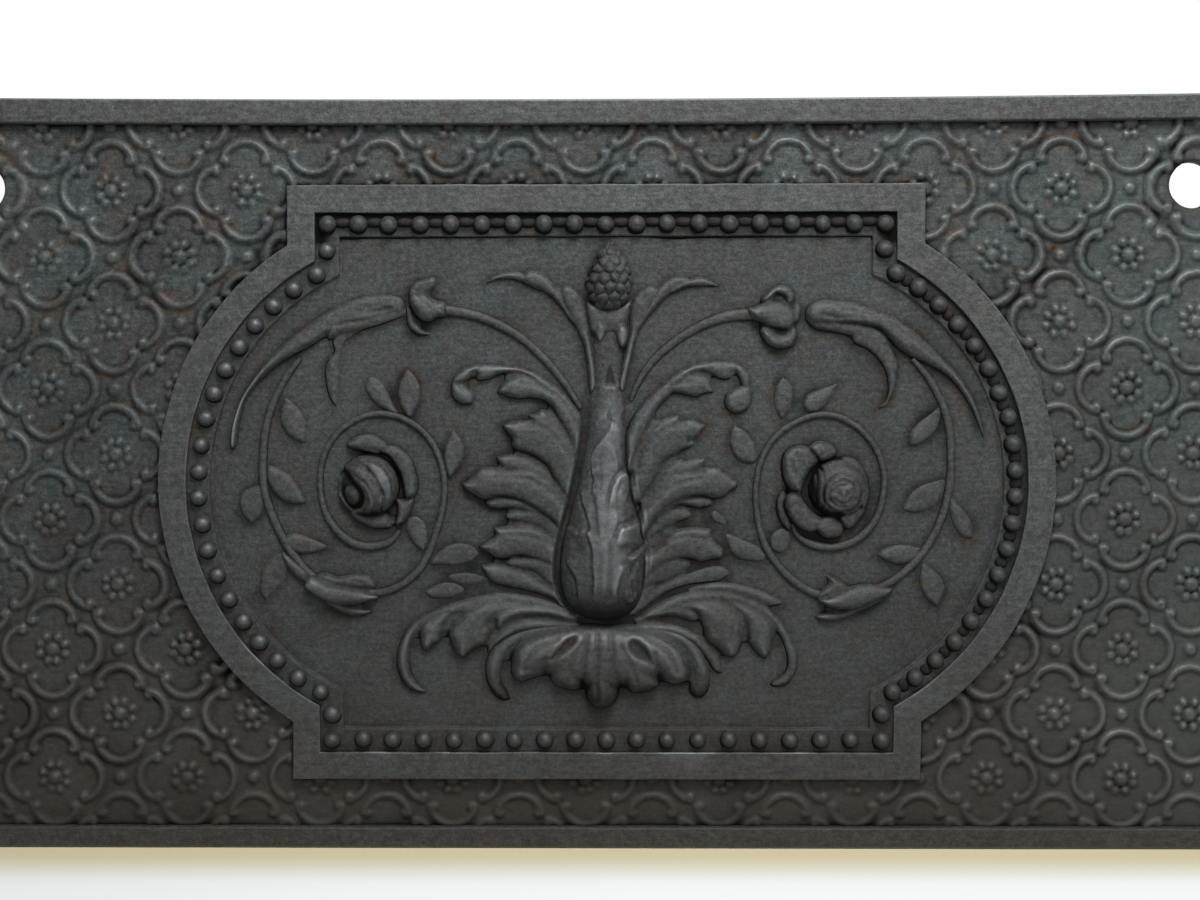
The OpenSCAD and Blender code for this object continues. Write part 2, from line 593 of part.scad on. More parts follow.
module diaper_scrolls() {
  reach = scroll_r + scroll_rope_r + 0.2;
  color("#4b4a43") {
    scrolls_at(whole(scroll_places(), reach));
    cut_to_ground(scroll_rope_r + tiny)
      scrolls_at(part_hidden(scroll_places(), reach));
  }
}

module diaper_rosettes() {
  reach = rosette_d / 2 + 0.2;
  color("#4f4d45") {
    domes_at(whole(cells(true), reach), rosette_d, rosette_h);
    cut_to_ground(rosette_h + tiny)
      domes_at(part_hidden(cells(true), reach), rosette_d, rosette_h);
  }
}

module diaper_pearls() {
  reach = pearl_d / 2 + 0.2;
  color("#4f4d45") {
    domes_at(whole(cells(false), reach), pearl_d, pearl_d / 2);
    cut_to_ground(pearl_d / 2 + tiny)
      domes_at(part_hidden(cells(false), reach), pearl_d, pearl_d / 2);
  }
}

module cartouche_frame() {
  color("#4a4841")
    difference() {
      at_cartouche()
        difference() {
          standing(-pocket_d, band_proud)
            cartouche_outline(0);
          standing(-pocket_d - tiny, band_proud + tiny)
            cartouche_outline(band_w);
        }
      for (at = frame_stud_at)
        stud_hole(at, -pocket_d - tiny, stud_seat - pocket_d, stud_d + 2 * thread_gap);
    }
}

module cartouche_panel() {
  color("#474640")
    difference() {
      at_cartouche()
        difference() {
          standing(-pocket_d, ledge_proud)
            cartouche_outline(panel_inset);
          standing(field_proud, ledge_proud + tiny)
            cartouche_outline(field_inset);
        }
      for (at = ornament_stud_at)
        stud_hole(at, -pocket_d - tiny, field_proud + tiny, stud_d + 2 * hole_gap);
    }
}

bead_row_x = cart_corner_w / 2 - bead_inset;
bead_row_z = cart_h / 2 - bead_inset;
bead_r = side_r - bead_inset;
bead_notch = acos((bead_row_x - side_cx) / bead_r);
side_bead_z = max(bead_row_z - bead_arc_pitch, bead_r * sin(bead_notch) + bead_d * 0.2);
straight_n = floor(2 * bead_row_x / bead_pitch);
arc_half = bead_notch - asin(bead_d * 0.65 / bead_r);
arc_n = floor(2 * arc_half * PI / 180 * bead_r / bead_arc_pitch);

module bead(x, z) {
  at_cartouche()
    facing(x, z, ledge_proud)
      dome(bead_d, bead_d / 2);
}

module bead_row(side) {
  color("#55534b")
    for (i = [0:straight_n])
      bead((i / straight_n - 0.5) * 2 * bead_row_x, side * bead_row_z);
}

module bead_arc(side) {
  color("#55534b") {
    for (i = [0:arc_n])
      let (a = (i / arc_n - 0.5) * 2 * arc_half)
      bead(side * (side_cx + bead_r * cos(a)), bead_r * sin(a));
    for (end = [-1, 1])
      bead(side * bead_row_x, end * side_bead_z);
  }
}

// Depth of a stud in the ornament; the baluster's neck is too thin for a full seat
function seat_at(at) = at[1] > 0 ? stud_seat / 2 : stud_seat;

// Part of a turned piece that stands in front of the field
module in_front_of_field() {
  intersection() {
    children();
    at_cartouche()
      standing(field_proud, front_reach + 1)
        square([cart_w, cart_h], center = true);
  }
}

// Turned piece that stands on its foot, from a profile in shares of its radius and height
module turned(profile, r, h) {
  rotate_extrude()
    polygon(concat(
      [[0, 0]],
      [for (q = curve(profile, 3)) [q[1] * r, q[0] * h]],
      [[0, h]]
    ));
}

module baluster_body() {
  in_front_of_field()
    at_cartouche()
      translate([0, ground_y - bulb_axis, baluster_foot])
        turned(baluster_profile, bulb_r, baluster_h);
}

module baluster() {
  color("#5a5850")
    difference() {
      baluster_body();
      for (at = [ornament_stud_at[0], ornament_stud_at[1]])
        stud_hole(at, field_proud - tiny, field_proud + seat_at(at), stud_d + 2 * thread_gap);
    }
}

module pine_cone_body() {
  in_front_of_field()
    at_cartouche()
      translate([cone_x, ground_y - field_proud, cone_foot])
        turned(cone_profile, cone_r, cone_h);
}

module pine_cone() {
  color("#55534b")
    pine_cone_body();
}

module rose_body(at, lean) {
  cup_h = rose_proud - field_proud;
  at_cartouche()
    facing(at[0], at[1], field_proud)
      difference() {
        union() {
          cylinder(r1 = rose_petal_r, r2 = rose_petal_r - 2, h = 3);
          for (a = [20:72:350])
            rotate([0, 0, a])
              translate([rose_petal_r * 0.62, 0, 0])
                sphere(r = rose_petal_r * 0.36);
          dome_cup(rose_cup_r, cup_h);
        }
        translate([lean * 4, 0, cup_h - 5])
          cylinder(r1 = rose_cup_r * 0.3, r2 = rose_cup_r * 0.62, h = 5 + tiny);
        translate([0, 0, -rose_petal_r])
          cylinder(r = 2 * rose_petal_r, h = rose_petal_r);
      }
}

module dome_cup(r, h) {
  cylinder(r1 = r * 0.8, r2 = r, h = h * 0.45);
  translate([0, 0, h * 0.45])
    cylinder(r1 = r, r2 = r * 0.72, h = h * 0.55);
}

module rose(at, lean) {
  color("#504e47")
    difference() {
      rose_body(at, lean);
      stud_hole(at, field_proud - tiny, field_proud + stud_seat, stud_d + 2 * thread_gap);
    }
}

// Foliage pieces give way to the bolder pieces that they meet
module foliage(list, rise, tone) {
  color(tone)
    difference() {
      strokes(list, rise);
      children();
    }
}

module bolder_at_middle() {
  baluster_body();
  pine_cone_body();
}

module foliage_left_stage1() {
  strokes(knot_left_strokes, leaf_rise);
  strokes(husk_left_strokes, leaf_rise);
  strokes(bud_left_strokes, leaf_rise);
  rose_body(rose_left_at, -1);
}

module foliage_right_stage1() {
  strokes(knot_right_strokes, leaf_rise);
  strokes(husk_right_strokes, leaf_rise);
  strokes(bud_right_strokes, leaf_rise);
  rose_body(rose_right_at, 1);
}

module frame_studs() {
  color("#6b6964")
    for (at = frame_stud_at)
      stud_hole(at, -stud_back, stud_seat - pocket_d - tiny, stud_d);
}

module ornament_studs() {
  color("#6b6964")
    for (at = ornament_stud_at)
      stud_hole(at, -stud_back, field_proud + seat_at(at) - tiny, stud_d);
}

module washers() {
  color("#77756f")
    for (at = stud_at)
      difference() {
        stud_hole(at, -plate_t - washer_t, -plate_t, washer_d);
        stud_hole(at, -plate_t - washer_t - tiny, -plate_t + tiny, stud_d + 2 * thread_gap);
      }
}

module nuts() {
  color("#6b6964")
    for (at = stud_at)
      difference() {
        at_cartouche()
          facing(at[0], at[1], -plate_t - washer_t - nut_h)
            cylinder(d = nut_flats / cos(30), h = nut_h, $fn = 6);
        stud_hole(at, -stud_back, -plate_t + tiny, stud_d + 2 * thread_gap);
      }
}

module sprig_left() {
  foliage(sprig_left_strokes, leaf_rise, "#4d4b44")
    bolder_at_middle();
}

module sprig_right() {
  foliage(sprig_right_strokes, leaf_rise, "#4d4b44")
    bolder_at_middle();
}

module crook_left() {
  foliage(crook_left_strokes, stem_rise, "#4d4b44") {
    bolder_at_middle();
    strokes(knot_left_strokes, leaf_rise);
    strokes(sprig_left_strokes, leaf_rise);
  }
}

module crook_right() {
  foliage(crook_right_strokes, stem_rise, "#4d4b44") {
    bolder_at_middle();
    strokes(knot_right_strokes, leaf_rise);
    strokes(sprig_right_strokes, leaf_rise);
  }
}

module knot_left() {
  foliage(knot_left_strokes, leaf_rise, "#55534b");
}

module knot_right() {
  foliage(knot_right_strokes, leaf_rise, "#55534b");
}

module husk_left() {
  foliage(husk_left_strokes, leaf_rise, "#4f4d46")
    strokes(knot_left_strokes, leaf_rise);
}

module husk_right() {
  foliage(husk_right_strokes, leaf_rise, "#4f4d46")
    strokes(knot_right_strokes, leaf_rise);
}

module stem_left() {
  foliage(stem_left_strokes, stem_rise, "#4d4b44")
    foliage_left_stage1();
}

module stem_right() {
  foliage(stem_right_strokes, stem_rise, "#4d4b44")
    foliage_right_stage1();
}

module bud_left() {
  foliage(bud_left_strokes, leaf_rise, "#55534b");
}

module bud_right() {
  foliage(bud_right_strokes, leaf_rise, "#55534b");
}

module leaves_left() {
  foliage(leaves_left_strokes, leaf_rise, "#4d4b44") {
    foliage_left_stage1();
    strokes(stem_left_strokes, stem_rise);
  }
}

module leaves_right() {
  foliage(leaves_right_strokes, leaf_rise, "#4d4b44") {
    foliage_right_stage1();
    strokes(stem_right_strokes, stem_rise);
  }
}

module acanthus_left() {
  foliage(acanthus_left_strokes, acanthus_rise, "#504e47") {
    bolder_at_middle();
    strokes(crook_left_strokes, stem_rise);
    strokes(leaves_left_strokes, leaf_rise);
  }
}

module acanthus_right() {
  foliage(acanthus_right_strokes, acanthus_rise, "#504e47") {
    bolder_at_middle();
    strokes(crook_right_strokes, stem_rise);
    strokes(leaves_right_strokes, leaf_rise);
  }
}

module droop_left() {
  foliage(droop_left_strokes, acanthus_rise, "#504e47") {
    bolder_at_middle();
    strokes(acanthus_left_strokes, acanthus_rise);
    strokes(leaves_left_strokes, leaf_rise);
  }
}

module droop_right() {
  foliage(droop_right_strokes, acanthus_rise, "#504e47") {
    bolder_at_middle();
    strokes(acanthus_right_strokes, acanthus_rise);
    strokes(leaves_right_strokes, leaf_rise);
  }
}

module palmette() {
  foliage(palmette_strokes, palmette_rise, "#55534b") {
    bolder_at_middle();
    strokes(droop_left_strokes, acanthus_rise);
    strokes(droop_right_strokes, acanthus_rise);
  }
}

module collar_leaves() {
  foliage(collar_strokes, acanthus_rise, "#55534b") {
    bolder_at_middle();
    strokes(sprig_left_strokes, leaf_rise);
    strokes(sprig_right_strokes, leaf_rise);
  }
}

ground_plate();
diaper_scrolls();
diaper_rosettes();
diaper_pearls();
cartouche_frame();
cartouche_panel();
bead_row(1);  // beads_top
bead_row(-1);  // beads_bottom
bead_arc(-1);  // beads_left
bead_arc(1);  // beads_right
baluster();
pine_cone();
collar_leaves();
sprig_left();
sprig_right();
crook_left();
crook_right();
knot_left();
knot_right();
husk_left();
husk_right();
stem_left();
stem_right();
rose(rose_left_at, -1);  // rose_left
rose(rose_right_at, 1);  // rose_right
bud_left();
bud_right();
leaves_left();
leaves_right();
acanthus_left();
acanthus_right();
droop_left();
droop_right();
palmette();
frame_studs();
ornament_studs();
washers();
nuts();
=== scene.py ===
import math

import bmesh
import bpy
import numpy as np
from mathutils import Matrix, Vector


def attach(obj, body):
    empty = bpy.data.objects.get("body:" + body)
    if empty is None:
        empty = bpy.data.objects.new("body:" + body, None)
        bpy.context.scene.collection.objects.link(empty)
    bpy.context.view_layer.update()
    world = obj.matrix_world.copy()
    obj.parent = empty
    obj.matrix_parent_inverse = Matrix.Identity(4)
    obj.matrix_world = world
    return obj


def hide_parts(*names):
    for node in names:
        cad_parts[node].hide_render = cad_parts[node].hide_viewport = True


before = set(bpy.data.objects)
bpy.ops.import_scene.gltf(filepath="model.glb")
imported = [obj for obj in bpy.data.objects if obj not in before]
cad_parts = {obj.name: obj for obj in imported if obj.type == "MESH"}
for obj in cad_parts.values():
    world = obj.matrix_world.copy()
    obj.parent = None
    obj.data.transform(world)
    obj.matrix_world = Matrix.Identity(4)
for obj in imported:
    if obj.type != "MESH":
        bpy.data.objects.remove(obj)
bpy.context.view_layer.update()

# Lengths are in millimetres until a mesh is made; x runs right from the plate's
# middle, z up from its foot, and a level is the height in front of the ground.
plate = {
    "width": 690.0, "height": 375.5, "web": 8.0, "groundY": -6.0,
    "rimProud": 5.0, "rimTop": 12.0, "rimBottom": 10.5, "rimEnd": 12.0,
    "flangeDepth": 22.0, "flangeThick": 10.0,
    "holeRadius": 11.5, "holeX": 300.0, "holeZ": 331.0,
    "lipSag": 2.2, "lipZ": (354, 361), "edgeRadius": 0.9, "footRadius": 2.5, "rimFoot": -2.5,
    "corner": 1.6, "draft": 1.1, "lap": 4, "lapRise": 0.4,
    # Unevenness of the mould as amount, grain and seed, sideways, up and outwards
    "unevenX": ((0.16, 14, 3),), "unevenZ": ((0.2, 13, 4),), "unevenOut": ((0.16, 26, 5),),
    "worn": 0.32, "footSootAndShade": 0.42, "backSootAndShade": 0.25,
}
cartouche = {
    "middleX": 10.4, "middleZ": 183.4, "width": 446.8, "height": 297.0,
    "cornerWidth": 315.0, "cornerSide": 29.5,
    "band": 14.0, "bandProud": 5.0, "ledge": 11.5, "ledgeProud": 3.0,
    "fieldProud": 1.5,
}
bulge = (cartouche["width"] - cartouche["cornerWidth"]) / 2
notchZ = cartouche["height"] / 2 - cartouche["cornerSide"]
sideRadius = (bulge ** 2 + notchZ ** 2) / (2 * bulge)
sideX = cartouche["width"] / 2 - sideRadius
fieldLevel = cartouche["fieldProud"]


# sRGB hex to linear: each channel by the standard's curve
def linear(hexColour):
    channels = [int(hexColour[i:i + 2], 16) / 255 for i in (1, 3, 5)]
    return tuple(c / 12.92 if c <= 0.04045 else ((c + 0.055) / 1.055) ** 2.4
                 for c in channels) + (1.0,)


def addNode(tree, kind, settings=None, inputs=None):
    node = tree.nodes.new("ShaderNode" + kind)
    for key, value in (settings or {}).items():
        setattr(node, key, value)
    for key, value in (inputs or {}).items():
        socket = node.inputs[key]
        if isinstance(value, bpy.types.NodeSocket):
            tree.links.new(value, socket)
        else:
            socket.default_value = value
    return node


# Catmull-Rom curve: each span is the cubic through its two ends whose slopes are
# half the chord between their neighbours, sampled at n even steps
def curveThrough(points, n):
    p = np.asarray(points, float)
    p = np.vstack([p[:1], p, p[-1:]])
    t = (np.arange(n) / n)[None, :, None]
    a, b, c, d = (p[k:len(p) - 3 + k, None, :] for k in range(4))
    spans = 0.5 * (2 * b + (c - a) * t + (2 * a - 5 * b + 4 * c - d) * t ** 2
                   + (3 * b - a - 3 * c + d) * t ** 3)
    return np.vstack([spans.reshape(-1, p.shape[1]), p[-1:]])


# Value noise: random heights on a square lattice, joined by the smooth step
# 3t^2 - 2t^3, between -1 and 1. The plate's middle lies near the lattice's.
lattice = {"cells": 256, "middleX": 128.37, "middleZ": 128.71}


def softNoise(x, z, grain, seed):
    cells = lattice["cells"]
    table = np.random.default_rng(seed).uniform(-1, 1, (cells + 1, cells + 1))
    u = np.asarray(x) / grain + lattice["middleX"]
    v = np.asarray(z) / grain + lattice["middleZ"]
    iu, iv = np.floor(u).astype(int), np.floor(v).astype(int)
    fu, fv = u - iu, v - iv
    fu, fv = fu * fu * (3 - 2 * fu), fv * fv * (3 - 2 * fv)
    iu, iv = iu % cells, iv % cells
    low = table[iu, iv] * (1 - fu) + table[iu + 1, iv] * fu
    high = table[iu, iv + 1] * (1 - fu) + table[iu + 1, iv + 1] * fu
    return low * (1 - fv) + high * fv


# Several such noises added up: each layer is its amount, its grain and its seed
def noiseSum(x, z, layers):
    return sum(amount * softNoise(x, z, grain, seed) for amount, grain, seed in layers)


# A bell curve: 1 in the middle and 1/e at a width from it
def bell(distance, width):
    return np.exp(-(distance / width) ** 2)


def smoothStep(low, high, value):
    t = np.clip((value - low) / (high - low), 0, 1)
    return t * t * (3 - 2 * t)


# Mean over a square window of 2r+1 steps, by running sums along both axes
def windowMean(h, r):
    for axis in (0, 1):
        pad = [(r + 1, r) if k == axis else (0, 0) for k in (0, 1)]
        total = np.cumsum(np.pad(h, pad, mode="edge"), axis=axis)
        size = h.shape[axis]
        far = np.take(total, np.arange(2 * r + 1, 2 * r + 1 + size), axis=axis)
        near = np.take(total, np.arange(0, size), axis=axis)
        h = (far - near) / (2 * r + 1)
    return h


# Weights 1 2 1 over each three neighbours, which rounds a cast edge
def soften(h, times=1):
    for _ in range(times):
        h = np.pad(h, 1, mode="edge")
        h = (h[:-2] + 2 * h[1:-1] + h[2:]) / 4
        h = (h[:, :-2] + 2 * h[:, 1:-1] + h[:, 2:]) / 4
    return h


# Quads between neighbouring points of a grid, seen counter-clockwise from the front
def gridQuads(rows, columns, wrapRows=False, wrapColumns=False):
    r = np.arange(rows if wrapRows else rows - 1)[:, None]
    c = np.arange(columns if wrapColumns else columns - 1)[None, :]
    r2, c2 = (r + 1) % rows, (c + 1) % columns
    return np.stack([r * columns + c, r * columns + c2,
                     r2 * columns + c2, r2 * columns + c], axis=-1).reshape(-1, 4)


# A piece from points (x, z, level), faces of several sizes and how exposed each point is: 0 in a
# crevice, 0.5 on a plain face, 1 on a rubbed crown; the value also carries painted shade and
# painted highlights
def makePiece(name, points, faces, exposed, finish, replaces, sharp=None):
    points = np.asarray(points, float)
    place = np.stack([points[:, 0], plate["groundY"] - points[:, 2], points[:, 1]], axis=1)
    faces = [np.asarray(f, int) for f in faces if len(f)]
    sizes = np.concatenate([np.full(len(f), f.shape[1]) for f in faces])
    corners = np.concatenate([f.ravel() for f in faces])
    mesh = bpy.data.meshes.new(name)
    mesh.vertices.add(len(place))
    mesh.vertices.foreach_set("co", (place * 0.001).ravel())
    mesh.loops.add(len(corners))
    mesh.loops.foreach_set("vertex_index", corners)
    mesh.polygons.add(len(sizes))
    mesh.polygons.foreach_set("loop_start", np.concatenate([[0], np.cumsum(sizes)[:-1]]))
    mesh.update(calc_edges=True)
    mesh.attributes.new("exposed", "FLOAT", "POINT").data.foreach_set(
        "value", np.asarray(exposed, float).ravel())
    mesh.shade_smooth()
    if sharp:
        mesh.set_sharp_from_angle(angle=math.radians(sharp))
    mesh.materials.append(finish)
    piece = bpy.data.objects.new(name, mesh)
    bpy.context.collection.objects.link(piece)
    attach(piece, "root")
    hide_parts(*replaces)
    return piece


# A grid's points, row by row; those on the field are counted from the cartouche's middle
def pointsOf(x, z, level):
    return np.stack([x, z, level], -1).reshape(-1, 3)


def onField(x, z, level):
    return pointsOf(cartouche["middleX"] + x, cartouche["middleZ"] + z, level)


# Joins parts (points, faces, exposed) into one set, numbering their points on
def together(parts):
    points, faces, exposed, at = [], [], [], 0
    for p, f, e in parts:
        points.append(p)
        exposed.append(np.ravel(e))
        faces.extend(np.asarray(k) + at for k in f if len(k))
        at += len(p)
    return np.vstack(points), faces, np.concatenate(exposed)


# Walls from a surface's open border back to a level, and a fan that closes them
def closed(points, quads, exposed, backLevel, backExposed=0.3):
    n = len(points)
    here = np.concatenate([quads[:, [k, (k + 1) % 4]] for k in range(4)])
    keys, mirrored = here[:, 0] * n + here[:, 1], here[:, 1] * n + here[:, 0]
    border = here[~np.isin(keys, mirrored)]
    rim, inverse = np.unique(border, return_inverse=True)
    inverse = inverse.reshape(border.shape) + n
    back = points[rim].copy()
    back[:, 2] = backLevel
    middle = back.mean(axis=0)[None]
    walls = np.stack([border[:, 1], border[:, 0], inverse[:, 0], inverse[:, 1]], axis=1)
    hub = np.full(len(border), n + len(rim))
    fan = np.stack([inverse[:, 1], inverse[:, 0], hub], axis=1)
    dark = np.full(len(rim) + 1, backExposed)
    return (np.vstack([points, back, middle]), [quads, walls, fan],
            np.concatenate([np.ravel(exposed), dark]))


# Keeps the quads of a grid where a mask holds, and only the points that they use
def kept(points, quads, exposed, mask):
    quads = quads[mask]
    used, inverse = np.unique(quads, return_inverse=True)
    return points[used], inverse.reshape(quads.shape), np.ravel(exposed)[used]


# Blackened cast iron: sand-cast, so a fine pebbled skin, with stove black over it.
# It looks like a dark satin grey with a green bloom, brown rust in the corners and
# a lighter, smoother tone where cloths and hands have rubbed the crowns.
# The near-black tone serves both as soot and as painted shade, and the pale rubbed tone both as
# wear and as painted highlight, wherever the exposed value puts them.
castIron = {
    "sootAndShade": "#100f0e", "black": "#343535", "bloom": "#353d3c", "bloomPale": "#4d5a55",
    "brown": "#3c332c", "rust": "#4d3a26", "rubbedAndLit": "#858c8e",
    "metallic": 0.45, "roughCrevice": 0.85, "roughCrown": 0.42, "roughSpread": 0.05,
    # Each noise: size in millimetres, detail, roughness
    "blotch": (38.0, 3.0, 0.6), "patch": (11.0, 4.0, 0.65), "grain": (0.7, 2.0, 0.6),
    "pits": (2.4, 3.0, 0.55), "streak": (1.5, 2.0, 0.5),
    "grainDepthMm": 0.14, "pitDepthMm": 0.3, "streakLong": 9.0,
    # How far each of them lightens and darkens the tone
    "grainSpread": 0.3, "pitSpread": 0.32, "streakSpread": 0.14,
    # Where each tone sets in and where it is full: by how exposed the place is, by the
    # blotches and patches, and by height and width in metres
    "rustBelow": (0.48, 0.3), "rubbedAndLitAbove": (0.55, 1.0), "sootAndShadeBelow": (0.47, 0.14),
    "greenIn": (0.42, 0.62), "brownIn": (0.48, 0.68), "rustIn": (0.52, 0.66),
    "fireZ": (0.2, 0.0), "toneZ": (0.0, 0.36), "paleX": (0.16, 0.32),
    "brownShare": 0.75, "paleShare": 0.2, "rubbedAndLitShare": 0.75, "highTone": 1.12,
    # The gloss of crevices and of plain faces
    "glossIn": (0.15, 0.6), "gloss": (0.05, 0.35),
}


# Noise whose lumps are about a given size in millimetres, from 0 to 1
def noiseOf(tree, place, sizeMm, detail=2.0, rough=0.5):
    return addNode(tree, "TexNoise", {"noise_dimensions": "3D"}, {
        "Vector": place, "Scale": 1000.0 / sizeMm, "Detail": detail,
        "Roughness": rough}).outputs["Fac"]


def mixColours(tree, share, first, second, how="MIX"):
    node = addNode(tree, "Mix", {"data_type": "RGBA", "blend_type": how})
    for socket, value in ((0, share), (6, first), (7, second)):
        if isinstance(value, bpy.types.NodeSocket):
            tree.links.new(value, node.inputs[socket])
        else:
            node.inputs[socket].default_value = value
    return node.outputs[2]


def rangeOf(tree, value, low, high, toLow=0.0, toHigh=1.0):
    return addNode(tree, "MapRange", {"interpolation_type": "SMOOTHSTEP"}, {
        "Value": value, "From Min": low, "From Max": high,
        "To Min": toLow, "To Max": toHigh}).outputs["Result"]


def maths(tree, operation, first, second=0.0):
    return addNode(tree, "Math", {"operation": operation}, {0: first, 1: second}).outputs[0]


# A noise as a factor that spreads evenly to both sides of a middle value
def factorOf(tree, noise, spread, middle=1.0):
    return rangeOf(tree, noise, 0.3, 0.7, middle - spread, middle + spread)


def newFinish(name):
    finish = bpy.data.materials.new(name)
    finish.use_nodes = True
    finish.node_tree.nodes.clear()
    return finish, finish.node_tree, addNode(finish.node_tree, "TexCoord").outputs["Object"]


def castIronFinish(name, lift, rusting, green, rubbingAndHighlight, lowTone=0.8, lowBrown=0.25):
    look = castIron
    finish, tree, place = newFinish(name)
    exposed = addNode(tree, "Attribute", {"attribute_name": "exposed"}).outputs["Fac"]
    axes = addNode(tree, "SeparateXYZ", inputs={"Vector": place}).outputs
    blotch, patch, grain, pits = (
        noiseOf(tree, place, *look[kind]) for kind in ("blotch", "patch", "grain", "pits"))
    # Faint level streaks, as a wiping cloth leaves them
    stretched = addNode(tree, "Mapping", inputs={
        "Vector": place, "Scale": (1 / look["streakLong"], 1.0, 1.0)}).outputs["Vector"]
    speck = factorOf(tree, noiseOf(tree, stretched, *look["streak"]), look["streakSpread"])
    speck = maths(tree, "MULTIPLY", speck, factorOf(tree, pits, look["pitSpread"]))
    speck = maths(tree, "MULTIPLY", speck, factorOf(tree, grain, look["grainSpread"] * lift, lift))
    rust = maths(tree, "MULTIPLY", rangeOf(tree, exposed, *look["rustBelow"], 0.0, rusting),
                 rangeOf(tree, patch, *look["rustIn"]))
    # The face tone drifts between black, a green bloom and brown, with rust in the hollows. Low
    # down it is darker and browner, and towards the right end it has a pale bloom. Where the
    # exposed value is high the crowns are rubbed and take painted highlights, and where it is low
    # the crevices take soot and painted shade. A share without a colour multiplies what is there.
    tone = linear(look["black"])
    for share, colour in (
            (rangeOf(tree, blotch, *look["greenIn"], 0.0, green), "bloom"),
            (rangeOf(tree, patch, *look["brownIn"], 0.0, look["brownShare"] * rusting), "brown"),
            (rust, "rust"),
            (speck, None),
            (rangeOf(tree, axes["Z"], *look["fireZ"], 0.0, lowBrown), "brown"),
            (rangeOf(tree, axes["Z"], *look["toneZ"], lowTone, look["highTone"]), None),
            (rangeOf(tree, axes["X"], *look["paleX"], 0.0, look["paleShare"] * green),
             "bloomPale"),
            (rangeOf(tree, exposed, *look["rubbedAndLitAbove"], 0.0, look["rubbedAndLitShare"] * rubbingAndHighlight),
             "rubbedAndLit"),
            (rangeOf(tree, exposed, *look["sootAndShadeBelow"]), "sootAndShade")):
        if colour:
            tone = mixColours(tree, share, tone, linear(look[colour]))
        else:
            channels = {k: share for k in ("Red", "Green", "Blue")}
            grey = addNode(tree, "CombineColor", inputs=channels)
            tone = mixColours(tree, 1.0, tone, grey.outputs["Color"], "MULTIPLY")
    rough = maths(tree, "ADD", factorOf(tree, pits, look["roughSpread"], 0.0), rangeOf(
        tree, exposed, 0.1, 1.0, look["roughCrevice"], look["roughCrown"]))
    bump = addNode(tree, "Bump", inputs={"Distance": look["pitDepthMm"] / 1000, "Height": pits})
    bump = addNode(tree, "Bump", inputs={
        "Distance": look["grainDepthMm"] / 1000, "Height": grain, "Normal": bump.outputs["Normal"]})
    shader = addNode(tree, "BsdfPrincipled", inputs={
        "Base Color": tone, "Metallic": look["metallic"], "Roughness": rough,
        "Specular IOR Level": rangeOf(tree, exposed, *look["glossIn"], *look["gloss"]),
        "Normal": bump.outputs["Normal"]})
    addNode(tree, "OutputMaterial", inputs={"Surface": shader.outputs["BSDF"]})
    return finish


# How light, rusty and green each surface is, and how far wear and painted highlights pale its
# crowns
groundFinish = castIronFinish("CastIronGround", 1.03, 0.6, 0.8, 0.25, lowTone=0.66, lowBrown=0.6)
rimFinish = castIronFinish("CastIronRim", 1.25, 0.45, 0.2, 0.6)
bandFinish = castIronFinish("CastIronBand", 1.28, 0.3, 0.4, 0.5)
fieldFinish = castIronFinish("CastIronField", 1.0, 0.45, 0.6, 0.5)
beadFinish = castIronFinish("CastIronBeads", 0.8, 0.35, 0.3, 0.35)
reliefFinish = castIronFinish("CastIronRelief", 1.0, 0.4, 0.5, 0.65)
# The back is made lighter than the front as painted light, making up for the weak lamp that reaches
# it.
backFinish = castIronFinish("CastIronBack", 1.7, 0.9, 0.3, 0.5)


# Bare mild steel of the fasteners: dull grey with brown rust
mildSteel = {
    "steel": "#6a6762", "rust": "#57483c", "metallic": 0.8, "patch": (7.0, 3.0, 0.5),
    "grain": (0.4, 2.0, 0.5), "grainDepthMm": 0.06, "roughSteel": 0.4, "roughRust": 0.75,
    "rustIn": (0.35, 0.7), "roughIn": (0.4, 0.62),
}


def steelFinish(name):
    look = mildSteel
    finish, tree, place = newFinish(name)
    patch, grain = (noiseOf(tree, place, *look[kind]) for kind in ("patch", "grain"))
    rusting = rangeOf(tree, patch, *look["rustIn"])
    tone = mixColours(tree, rusting, linear(look["steel"]), linear(look["rust"]))
    bump = addNode(tree, "Bump", inputs={"Distance": look["grainDepthMm"] / 1000, "Height": grain})
    shader = addNode(tree, "BsdfPrincipled", inputs={
        "Base Color": tone, "Metallic": look["metallic"], "Normal": bump.outputs["Normal"],
        "Roughness": rangeOf(tree, patch, *look["roughIn"], look["roughSteel"],
                             look["roughRust"])})
    addNode(tree, "OutputMaterial", inputs={"Surface": shader.outputs["BSDF"]})
    return finish


rustedSteel = steelFinish("RustedSteel")
print("finishes made")


# A profile's corners rounded: each becomes an arc between points a radius back along
# its two sides, with a supporting point just outside each end of the arc
def rounded(profile, radii, steps=3, support=0.35):
    made = []
    n = len(profile)
    for k in range(n):
        here, before, after = (np.array(profile[(k + s) % n], float) for s in (0, -1, 1))
        back, on = before - here, after - here
        back, on = back / np.linalg.norm(back), on / np.linalg.norm(on)
        r = radii[k]
        if r <= 0:
            made.append(here)
            continue
        a, b = here + back * r, here + on * r
        t = np.linspace(0, 1, steps + 1)[:, None]
        made.append(a + back * support)
        made.extend((1 - t) ** 2 * a + 2 * t * (1 - t) * here + t ** 2 * b)
        made.append(b + on * support)
    return np.array(made)


# How far the old plate's top bar has dropped at x: a parabola, most in the middle
def lipDrop(x, z):
    drop = plate["lipSag"] * (1 - (x / (plate["width"] / 2)) ** 2)
    return drop * smoothStep(*plate["lipZ"], z)


